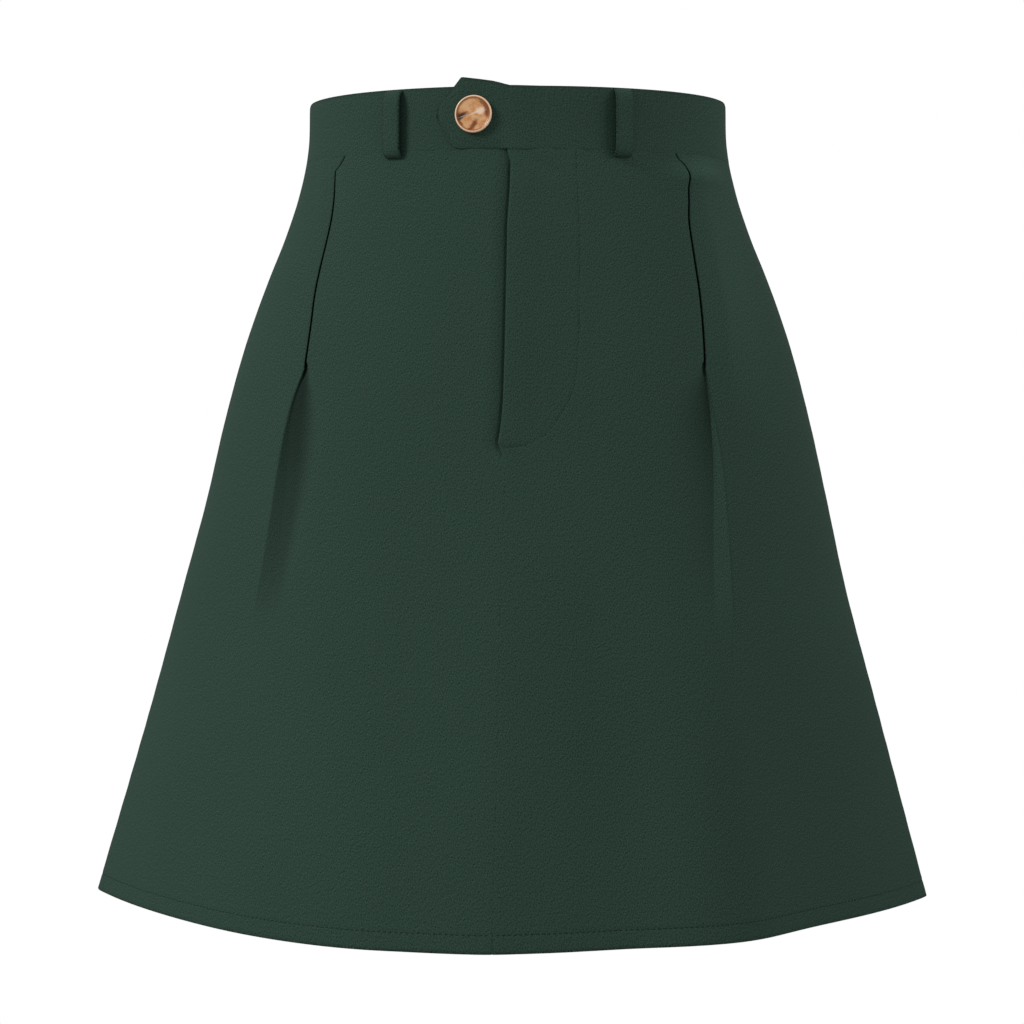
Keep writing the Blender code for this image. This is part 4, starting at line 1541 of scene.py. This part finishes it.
class Graph:
    """Adds nodes to a node tree and joins them."""

    def __init__(self, tree: bpy.types.NodeTree) -> None:
        """Keeps the tree."""
        self.tree = tree

    def fill(self, node: Any, inputs: dict[Any, Any]) -> None:
        """Gives inputs, by name or number, their values; a socket is linked."""
        for name, value in inputs.items():
            if isinstance(value, bpy.types.NodeSocket):
                self.tree.links.new(value, node.inputs[name])
            else:
                node.inputs[name].default_value = value

    def add(self, kind: str, inputs: dict[Any, Any] | None = None, **settings: Any) -> Any:
        """Makes a node.

        Args:
            kind: its type, without the leading ShaderNode.
            inputs: values or sockets by the inputs' names or numbers.
            settings: the node's own settings.

        Returns:
            The node.
        """
        node = self.tree.nodes.new(kind if kind.startswith("Node") else "ShaderNode" + kind)
        for name, value in settings.items():
            setattr(node, name, value)
        self.fill(node, inputs or {})
        return node

    def sum(self, operation: str, *values: Any) -> Any:
        """The result of a Math node."""
        return self.add("Math", dict(enumerate(values)), operation=operation).outputs[0]

    def vector(self, operation: str, *values: Any) -> Any:
        """A Vector Math node."""
        return self.add("VectorMath", dict(enumerate(values)), operation=operation)

    def noise(self, vector: Any, scale: float, detail: float = 2.0, rough: float = 0.5) -> Any:
        """The value of a Noise Texture."""
        inputs = {"Vector": vector, "Scale": scale, "Detail": detail, "Roughness": rough}
        return self.add("TexNoise", inputs).outputs["Fac"]

    def stretch(self, vector: Any, turn: float, scale: tuple[float, float, float]) -> Any:
        """A vector turned about Z by degrees, then scaled."""
        inputs = {"Vector": vector, "Angle": math.radians(turn)}
        turned = self.add("VectorRotate", inputs, rotation_type="Z_AXIS").outputs[0]
        return self.vector("MULTIPLY", turned, scale).outputs[0]

    def ramp(self, value: Any, low: float, high: float, to_low: float, to_high: float) -> Any:
        """A value mapped from one range to another and cut off at its ends."""
        inputs = {0: value, 1: low, 2: high, 3: to_low, 4: to_high}
        return self.add("MapRange", inputs, interpolation_type="SMOOTHSTEP").outputs[0]

    def mix(self, share: Any, one: Any, two: Any) -> Any:
        """Two colours mixed."""
        return self.add("Mix", {0: share, 6: one, 7: two}, data_type="RGBA").outputs[2]

    def bump(self, height: Any, distance: float, strength: float) -> Any:
        """The normal of a Bump node; distance is in metres."""
        inputs = {"Height": height, "Distance": distance, "Strength": strength}
        return self.add("Bump", inputs).outputs[0]

    def group(self, tree: bpy.types.NodeTree, inputs: dict[str, Any]) -> Any:
        """The outputs of a node group; its tree comes first, since it makes the sockets."""
        return self.add("Group", inputs, node_tree=tree).outputs


def node_group(
    name: str, inputs: dict[str, Any], outputs: list[str]
) -> tuple[Any, Graph, Any, Any]:
    """A new shader node group with its sockets.

    Args:
        name: the group's name.
        inputs: each input's name with its default; a tuple of three makes a vector, of
            four a colour.
        outputs: names; Colour is a colour and the others are values.

    Returns:
        The group, its graph, its input node and its output node.
    """
    tree = bpy.data.node_groups.new(name, "ShaderNodeTree")
    for title, value in inputs.items():
        kind = "NodeSocketFloat"
        if isinstance(value, tuple):
            kind = "NodeSocketColor" if len(value) == 4 else "NodeSocketVector"
        socket = tree.interface.new_socket(title, in_out="INPUT", socket_type=kind)
        socket.default_value = value
    for title in outputs:
        kind = "NodeSocketColor" if title == "Colour" else "NodeSocketFloat"
        tree.interface.new_socket(title, in_out="OUTPUT", socket_type=kind)
    graph = Graph(tree)
    return tree, graph, graph.add("NodeGroupInput"), graph.add("NodeGroupOutput")


class Effects:
    """The effects that the finishes share, each a node group built once."""

    RIB_TURN = -30.0  # degrees

    def __init__(self) -> None:
        """Builds the groups."""
        self.twill = self.build_twill()
        self.plain = self.build_plain()
        self.tone = self.build_tone()

    def build_twill(self) -> bpy.types.NodeTree:
        """Twill: fine ribs that fall to the right, broken up into streaks.

        Height is a sine across the ribs, times the yarns that cross them. Streak is long
        noise along the ribs, which is what shows from further off.
        """
        tree, graph, start, end = node_group(
            "twill_weave", {"Vector": (0.0, 0.0, 0.0), "Ribs": 640.0}, ["Height", "Streak"]
        )
        vector = start.outputs["Vector"]
        ribs = graph.stretch(vector, self.RIB_TURN, (1.0, 1.0, 1.0))
        split = graph.add("SeparateXYZ", {0: ribs})
        phase = graph.sum("MULTIPLY", split.outputs[0], start.outputs["Ribs"])
        waver, yarn, streak = (
            graph.noise(graph.stretch(vector, self.RIB_TURN, (along, across, 1.0)), 1.0, *rest)
            for along, across, *rest in (
                (700.0, 160.0, 2.0),
                (1800.0, 900.0, 1.0),
                (2700.0, 1000.0, 2.0, 0.6),
            )
        )
        phase = graph.sum("MULTIPLY", graph.sum("MULTIPLY_ADD", waver, 0.8, phase), math.tau)
        rib = graph.sum("SINE", phase)
        height = graph.sum("MULTIPLY_ADD", rib, 0.3, graph.sum("MULTIPLY", yarn, 1.2))
        graph.fill(end, {"Height": height, "Streak": streak})
        return tree

    def build_plain(self) -> bpy.types.NodeTree:
        """Plain weave: two sets of yarns that cross, the higher one on top."""
        tree, graph, start, end = node_group(
            "plain_weave", {"Vector": (0.0, 0.0, 0.0), "Yarns": 1700.0}, ["Height", "Streak"]
        )
        vector = start.outputs["Vector"]
        split = graph.add("SeparateXYZ", {0: vector})
        waves = []
        for axis in split.outputs[:2]:
            turn = graph.sum("MULTIPLY", axis, start.outputs["Yarns"])
            wave = graph.sum("SINE", graph.sum("MULTIPLY", turn, math.pi))
            waves.append(graph.sum("ABSOLUTE", wave))
        slub = graph.noise(graph.stretch(vector, 0.0, (900.0, 260.0, 1.0)), 1.0, 2.0)
        graph.fill(end, {"Height": graph.sum("MULTIPLY", *waves), "Streak": slub})
        return tree

    def build_tone(self) -> bpy.types.NodeTree:
        """Cloth colour: slow changes, streaks of yarn and fibres, darker by the painted shade,
        paler where a painted highlight makes it negative.
        """
        tree, graph, start, end = node_group(
            "cloth_tone",
            {
                "Vector": (0.0, 0.0, 0.0),
                "Base": (0.03, 0.05, 0.04, 1.0),
                "Streak": 0.5,
                "Height": 0.5,
                "Shade": 0.0,
                "Streak strength": 0.3,
                "Cloud strength": 0.12,
            },
            ["Colour", "Roughness"],
        )
        vector = start.outputs["Vector"]
        cloud = graph.noise(vector, 9.0, 2.0, 0.4)
        fibre = graph.noise(vector, 2500.0, 1.0)
        # the weave's height also tints the colour: darker where it sinks, a painted shade
        light, slow, fine, deep = (
            graph.sum("MULTIPLY", graph.ramp(value, low, high, -1.0, 1.0), strength)
            for value, low, high, strength in (
                (start.outputs["Streak"], 0.25, 0.75, start.outputs["Streak strength"]),
                (cloud, 0.2, 0.8, start.outputs["Cloud strength"]),
                (fibre, 0.2, 0.8, 0.16),
                (start.outputs["Height"], 0.0, 1.0, 0.08),
            )
        )
        total = graph.sum("ADD", graph.sum("ADD", light, slow), graph.sum("ADD", fine, deep))
        # painted shade darkens the colour; a negative shade paints a highlight
        lit = graph.sum("SUBTRACT", 1.0, start.outputs["Shade"])
        value = graph.sum("MULTIPLY", graph.sum("ADD", total, 1.0), lit)
        base = start.outputs["Base"]
        scaled = graph.add("VectorMath", {0: base, 3: value}, operation="SCALE").outputs[0]
        rough = graph.sum("MULTIPLY_ADD", total, -0.08, 0.88)
        graph.fill(end, {"Colour": scaled, "Roughness": graph.sum("MINIMUM", rough, 0.98)})
        return tree


def opaque(colour: Colour, scale: float = 1.0) -> tuple[float, ...]:
    """A colour, scaled, with a fourth value of 1 for its alpha."""
    return (*(scale * part for part in colour), 1.0)


def new_material(name: str) -> tuple[Material, Graph, Any]:
    """A node material with its Principled shader."""
    made = bpy.data.materials.new(name)
    made.use_nodes = True
    graph = Graph(made.node_tree)
    return made, graph, made.node_tree.nodes["Principled BSDF"]


@dataclass(frozen=True)
class ClothFinish:
    """Matt woven cloth."""

    name: str
    colour: Colour
    twill: bool = True
    streak: float = 0.64
    cloud: float = 0.03
    bump: float = 0.00008
    sheen: float = 0.02
    sheen_tint: Colour = (0.55, 0.75, 0.66)

    def build(self, effects: Effects) -> Material:
        """The material, from the weave and tone groups."""
        made, graph, shader = new_material(self.name)
        uv = graph.add("UVMap", uv_map=CLOTH_MAP).outputs[0]
        tree = effects.twill if self.twill else effects.plain
        weave = graph.group(tree, {"Vector": uv})
        tone = graph.group(
            effects.tone,
            {
                "Vector": uv,
                "Base": opaque(self.colour),
                "Streak": weave["Streak"],
                "Height": weave["Height"],
                "Shade": graph.add("Attribute", attribute_name=PAINTED_SHADE).outputs["Fac"],
                "Streak strength": self.streak,
                "Cloud strength": self.cloud,
            },
        )
        graph.fill(
            shader,
            {
                "Base Color": tone["Colour"],
                "Roughness": tone["Roughness"],
                "Normal": graph.bump(weave["Height"], self.bump, 0.6),
                "Specular IOR Level": 0.08,
                "Sheen Weight": self.sheen,
                "Sheen Roughness": 0.45,
                "Sheen Tint": opaque(self.sheen_tint),
            },
        )
        return made


@dataclass(frozen=True)
class ThreadFinish:
    """Twisted sewing thread with a slight shine."""

    name: str
    colour: Colour

    def build(self) -> Material:
        """The material: slanted ply lines across each stitch."""
        made, graph, shader = new_material(self.name)
        uv = graph.add("UVMap", uv_map=CLOTH_MAP).outputs[0]
        ply = graph.add("SeparateXYZ", {0: graph.stretch(uv, 35.0, (1.0, 1.0, 1.0))}).outputs[0]
        twist = graph.sum("SINE", graph.sum("MULTIPLY", ply, 14000.0))
        # darker in the grooves between the plies: painted shade
        share = graph.ramp(twist, -1.0, 1.0, 0.0, 1.0)
        colour = graph.mix(share, opaque(self.colour, 0.6), opaque(self.colour))
        graph.fill(
            shader,
            {
                "Base Color": colour,
                "Normal": graph.bump(twist, 0.00005, 0.5),
                "Roughness": 0.8,
                "Specular IOR Level": 0.1,
            },
        )
        return made


@dataclass(frozen=True)
class Mark:
    """A soft elongated mark on the button's face, in millimetres and degrees."""

    x: float
    y: float
    half_length: float
    half_width: float
    turn: float
    colour: str
    strength: float


@dataclass(frozen=True)
class HornFinish:
    """Polished horn look: tan, with cream and brown clouds and a few streaks."""

    cream: Colour = (0.68, 0.40, 0.205)
    tan: Colour = (0.54, 0.225, 0.072)
    brown: Colour = (0.20, 0.052, 0.017)
    dark: Colour = (0.030, 0.014, 0.009)
    pale: Colour = (0.84, 0.64, 0.48)
    grey: Colour = (0.34, 0.30, 0.27)
    rim: Colour = (0.82, 0.54, 0.33)
    RINGS = ((0.0084, 0.0095, 0.7, "brown"), (0.0097, 0.0101, 1.0, "rim"))  # metres out
    MARKS = (
        # the cream mark at the upper left is a painted highlight
        Mark(-4.6, 5.4, 5.0, 3.0, 35.0, "cream", 0.8),
        Mark(-4.2, -5.4, 3.2, 2.2, -30.0, "cream", 0.6),
        Mark(5.6, -5.4, 3.4, 2.6, 30.0, "tan", 0.7),
        Mark(8.2, 2.2, 6.4, 2.6, 97.0, "brown", 0.95),
        Mark(5.4, 6.4, 4.2, 1.6, -45.0, "brown", 0.8),
        Mark(-8.8, -1.6, 4.4, 2.2, 78.0, "brown", 0.95),
        Mark(-6.2, -0.4, 4.6, 1.9, 20.0, "brown", 0.85),
        Mark(-7.4, -1.6, 4.2, 2.0, 40.0, "dark", 0.95),
        Mark(-7.4, -5.2, 2.4, 1.2, -50.0, "brown", 0.8),
        Mark(0.4, -6.0, 4.4, 1.9, 56.0, "brown", 0.95),
        Mark(-1.6, -8.6, 2.4, 1.2, 10.0, "brown", 0.9),
        Mark(4.2, 1.7, 3.4, 2.6, 20.0, "pale", 0.95),
        Mark(0.8, 0.7, 3.6, 0.9, 18.0, "pale", 0.6),
        Mark(-4.8, -0.8, 6.0, 0.42, 20.0, "grey", 0.95),
    )

    def mask(self, graph: Graph, uv: Any, mark: Mark) -> Any:
        """A mark's soft mask: 1 inside an ellipse with a ragged edge, fading to 0 outside."""
        centre = (mark.x * MM, mark.y * MM, 0.0)
        moved = graph.vector("SUBTRACT", uv, centre).outputs[0]
        scale = (1.0 / (mark.half_length * MM), 1.0 / (mark.half_width * MM), 0.0)
        local = graph.stretch(moved, -mark.turn, scale)
        far = graph.vector("LENGTH", local).outputs["Value"]
        ragged = graph.noise(uv, 620.0, 3.0, 0.65)
        far = graph.sum("ADD", far, graph.sum("MULTIPLY_ADD", ragged, 1.0, -0.5))
        return graph.ramp(far, 0.35, 1.05, mark.strength, 0.0)

    def build(self) -> Material:
        """The material, on the face's own map."""
        made, graph, shader = new_material("mottled_horn")
        uv = graph.add("UVMap", uv_map=CLOTH_MAP).outputs[0]
        swirl = graph.noise(graph.stretch(uv, 25.0, (230.0, 380.0, 1.0)), 1.0, 5.0, 0.62)
        cloud = graph.ramp(swirl, 0.34, 0.66, 0.0, 1.0)
        colour = graph.mix(cloud, opaque(self.tan), opaque(self.cream))
        for mark in self.MARKS:
            share = self.mask(graph, uv, mark)
            colour = graph.mix(share, colour, opaque(getattr(self, mark.colour)))
        away = graph.vector("LENGTH", uv).outputs["Value"]
        for start, end, strength, ring in self.RINGS:
            share = graph.ramp(away, start, end, 0.0, strength)
            colour = graph.mix(share, colour, opaque(getattr(self, ring)))
        fine = graph.noise(uv, 900.0, 2.0)
        graph.fill(
            shader,
            {
                "Base Color": colour,
                "Roughness": graph.ramp(swirl, 0.3, 0.7, 0.22, 0.36),
                "Normal": graph.bump(fine, 0.00002, 0.15),
                "Specular IOR Level": 0.3,
                "Coat Weight": 0.15,
                "Coat Roughness": 0.14,
            },
        )
        return made


@dataclass(frozen=True)
class MouldedFinish:
    """Moulded plastic of the zip's teeth: dark, satin, faintly mottled."""

    colour: Colour = (0.020, 0.036, 0.028)

    def build(self) -> Material:
        """The material."""
        made, graph, shader = new_material("zip_moulding")
        spot = graph.add("TexCoord").outputs["Object"]
        cloud = graph.noise(spot, 700.0, 3.0)
        colour = graph.mix(cloud, opaque(self.colour, 0.6), opaque(self.colour, 1.3))
        rough = graph.ramp(cloud, 0.3, 0.7, 0.35, 0.5)
        normal = graph.bump(cloud, 0.00004, 0.3)
        graph.fill(shader, {"Base Color": colour, "Roughness": rough, "Normal": normal})
        return made


# ---------------------------------------------------------------- studio


@dataclass
class Studio:
    """Camera, lights, floor and the white behind it."""

    distance: float = 1350.0
    yaw: float = 1.5
    side_shift: float = -3.4
    height: float = -233.5
    focal_pixels: float = 2177.4
    frame_pixels: float = 1024.0
    floor: float = -1000.0
    floor_radius: float = 1100.0
    ambient: float = 0.40

    AIM = (0.0, 0.0, -0.22)
    LIGHTS = (  # name, place, size and power
        ("key", (-2.2, -1.2, 1.55), 0.9, 66.0),
        ("side", (1.3, -0.42, 0.6), 0.6, 9.0),
    )
    SENSOR = 36.0

    def camera(self) -> None:
        """A level camera in front, turned a little to the right of the centre."""
        data = bpy.data.cameras.new("camera")
        data.sensor_width = self.SENSOR
        data.lens = self.SENSOR * self.focal_pixels / self.frame_pixels
        data.clip_start, data.clip_end = 0.05, 60.0
        turn = math.radians(self.yaw)
        made = bpy.data.objects.new("camera", data)
        made.location = (
            MM * (self.side_shift * math.cos(turn) + self.distance * math.sin(turn)),
            MM * (self.side_shift * math.sin(turn) - self.distance * math.cos(turn)),
            MM * self.height,
        )
        made.rotation_euler = (math.pi / 2, 0.0, turn)
        bpy.context.scene.collection.objects.link(made)
        bpy.context.scene.camera = made

    def light(
        self, name: str, place: tuple[float, float, float], size: float, power: float
    ) -> None:
        """A square soft box that faces the middle of the skirt."""
        data = bpy.data.lights.new(name, "AREA")
        data.energy, data.size = power, size
        made = bpy.data.objects.new(name, data)
        made.location = place
        x, y, z = np.array(self.AIM) - np.array(place)
        made.rotation_euler = (math.atan2(math.hypot(x, y), -z), 0.0, math.atan2(-x, y))
        bpy.context.scene.collection.objects.link(made)

    def floor_disc(self) -> None:
        """A round pale floor below the skirt, on rings that grow evenly."""
        turn = 2 * math.pi * np.arange(96) / 96
        rings = np.linspace(0.1, self.floor_radius, 12)
        x, y = (rings[:, None] * part[None] for part in (np.cos(turn), np.sin(turn)))
        flat = np.stack([x, y, np.full_like(x, self.floor)], axis=2).reshape(-1, 3)
        index = np.arange(len(flat)).reshape(x.shape)
        made = make_mesh("pale_floor", flat, [ring_quads(index), index[:1]], flat[:, :2])
        finish, graph, shader = new_material("pale_paper")
        grain = graph.noise(graph.add("TexCoord").outputs["Object"], 40.0, 3.0)
        colour = graph.mix(grain, (0.90, 0.90, 0.90, 1.0), (0.93, 0.93, 0.93, 1.0))
        graph.fill(shader, {"Base Color": colour, "Roughness": 0.95, "Specular IOR Level": 0.1})
        made.data.materials.append(finish)

    def world(self) -> None:
        """White behind everything, and a dimmer even light from all round."""
        made = bpy.data.worlds.new("studio_white")
        made.use_nodes = True
        graph = Graph(made.node_tree)
        shader = made.node_tree.nodes["Background"]
        seen = graph.add("LightPath").outputs["Is Camera Ray"]
        strength = graph.sum("MULTIPLY_ADD", seen, 1.0 - self.ambient, self.ambient)
        graph.fill(shader, {0: (1.0, 1.0, 1.0, 1.0), 1: strength})
        bpy.context.scene.world = made

    def build(self) -> None:
        """The whole studio."""
        self.camera()
        self.world()
        self.floor_disc()
        for row in self.LIGHTS:
            self.light(*row)
        scene = bpy.context.scene
        scene.view_settings.view_transform = "Standard"
        scene.view_settings.look = "None"


# ---------------------------------------------------------------- the skort


LEFT_CREASES = (Crease(126.0, -40.0, 20.0, 6.0, 10.0, 0.8),)
RIGHT_CREASES = (
    Crease(124.0, -31.0, 22.0, 6.5, -92.0, 3.6),
    Crease(130.0, -100.0, 60.0, 8.0, -7.0, 2.0),
    Crease(19.0, -28.0, 18.0, 4.0, -60.0, -0.5),
)
# right front: painted highlights on the hip, the side and low down, painted shade beside the fly
RIGHT_PAINTED_LIGHT_AND_SHADE = (
    Crease(122.0, -26.5, 20.0, 7.0, -94.0, -0.34),
    Crease(148.0, -98.0, 56.0, 18.0, -8.0, -0.17),
    Crease(18.0, -100.0, 90.0, 24.0, 0.0, 0.05),
    Crease(95.0, -390.0, 110.0, 26.0, -6.0, -0.05),
)
BACK_CREASES = (
    Crease(-30.0, -150.0, 60.0, 14.0, 12.0, -0.8),
    Crease(48.0, -210.0, 70.0, 16.0, -8.0, 0.9),
)
HEM_END = 1.5  # from the hem's stitches to each seam
LOOPS = (
    ("front_left_belt_loop", "loop_front_left", -69.6),
    ("front_right_belt_loop", "loop_front_right", 66.9),
    ("back_left_belt_loop", "loop_back_left", -265.0),
    ("back_right_belt_loop", "loop_back_right", 265.0),
)


def hem_paths(fronts: tuple[FrontPanel, ...], back: BackPanel) -> list[tuple[Array, Array]]:
    """The topstitched line above the hem, panel by panel."""
    level = HEM_SIDE + STITCH_RISE
    lines = FORM.lines(np.array([level]))
    paths = []
    for panel in fronts:
        end = float(lines.side_seam(panel.side)[0]) - HEM_END
        points = np.array([(HEM_END, level), (end / 2, level), (end, level)])
        paths.append(path_on(points, 500, panel.place))
    left, right = (
        float((lines.centre_back(side) - lines.side_seam(side))[0]) - HEM_END for side in Side
    )
    points = np.array([(right, level), (0.0, level), (-left, level)])
    paths.append(path_on(points, 900, back.place))
    return paths


def main() -> None:
    """Builds every piece in order, then the studio."""
    logging.basicConfig(level=logging.INFO, format="%(name)s: %(message)s")
    effects = Effects()
    twill = ClothFinish("green_twill", (0.0235, 0.0490, 0.0365)).build(effects)
    plain = ClothFinish("green_plain_weave", (0.021, 0.040, 0.031), False, 0.14).build(effects)
    tape = ClothFinish("zip_tape_weave", (0.018, 0.034, 0.026), False, 0.14).build(effects)
    thread = ThreadFinish("green_thread", (0.013, 0.028, 0.021)).build()

    left = FrontPanel(side=Side.LEFT, creases=LEFT_CREASES)
    right = FrontPanel(side=Side.RIGHT, creases=RIGHT_CREASES, painted_light_and_shade=RIGHT_PAINTED_LIGHT_AND_SHADE)
    back = BackPanel(creases=BACK_CREASES)
    bands = [Waistband(side) for side in Side]
    loops = [BeltLoop(*row) for row in LOOPS]
    for part in (left, right, back, *bands, *loops, FlyShield()):
        part.build(twill)
    Zip().build(tape, MouldedFinish().build())
    Button().build(HornFinish().build())
    legs = [ShortsPanel(face, side) for face in Face for side in Side]
    for leg in legs:
        leg.build(plain)

    fly = path_on(np.array(FrontPanel.FLY_STITCH), 600, right.place)
    rows = (
        ("hem_stitching", Thread(3.1, 2.6, 0.19), hem_paths((left, right), back), "skirt_cloth"),
        ("fly_stitching", Thread(2.7, 2.4, 0.15), [fly], "skirt_cloth"),
        ("shorts_stitching", Thread(), [leg.hem_path() for leg in legs], "shorts_cloth"),
    )
    for name, stitches, paths, slot in rows:
        dress(stitches.build(name, paths), thread, slot)

    Studio().build()


if __name__ == "__main__":
    main()
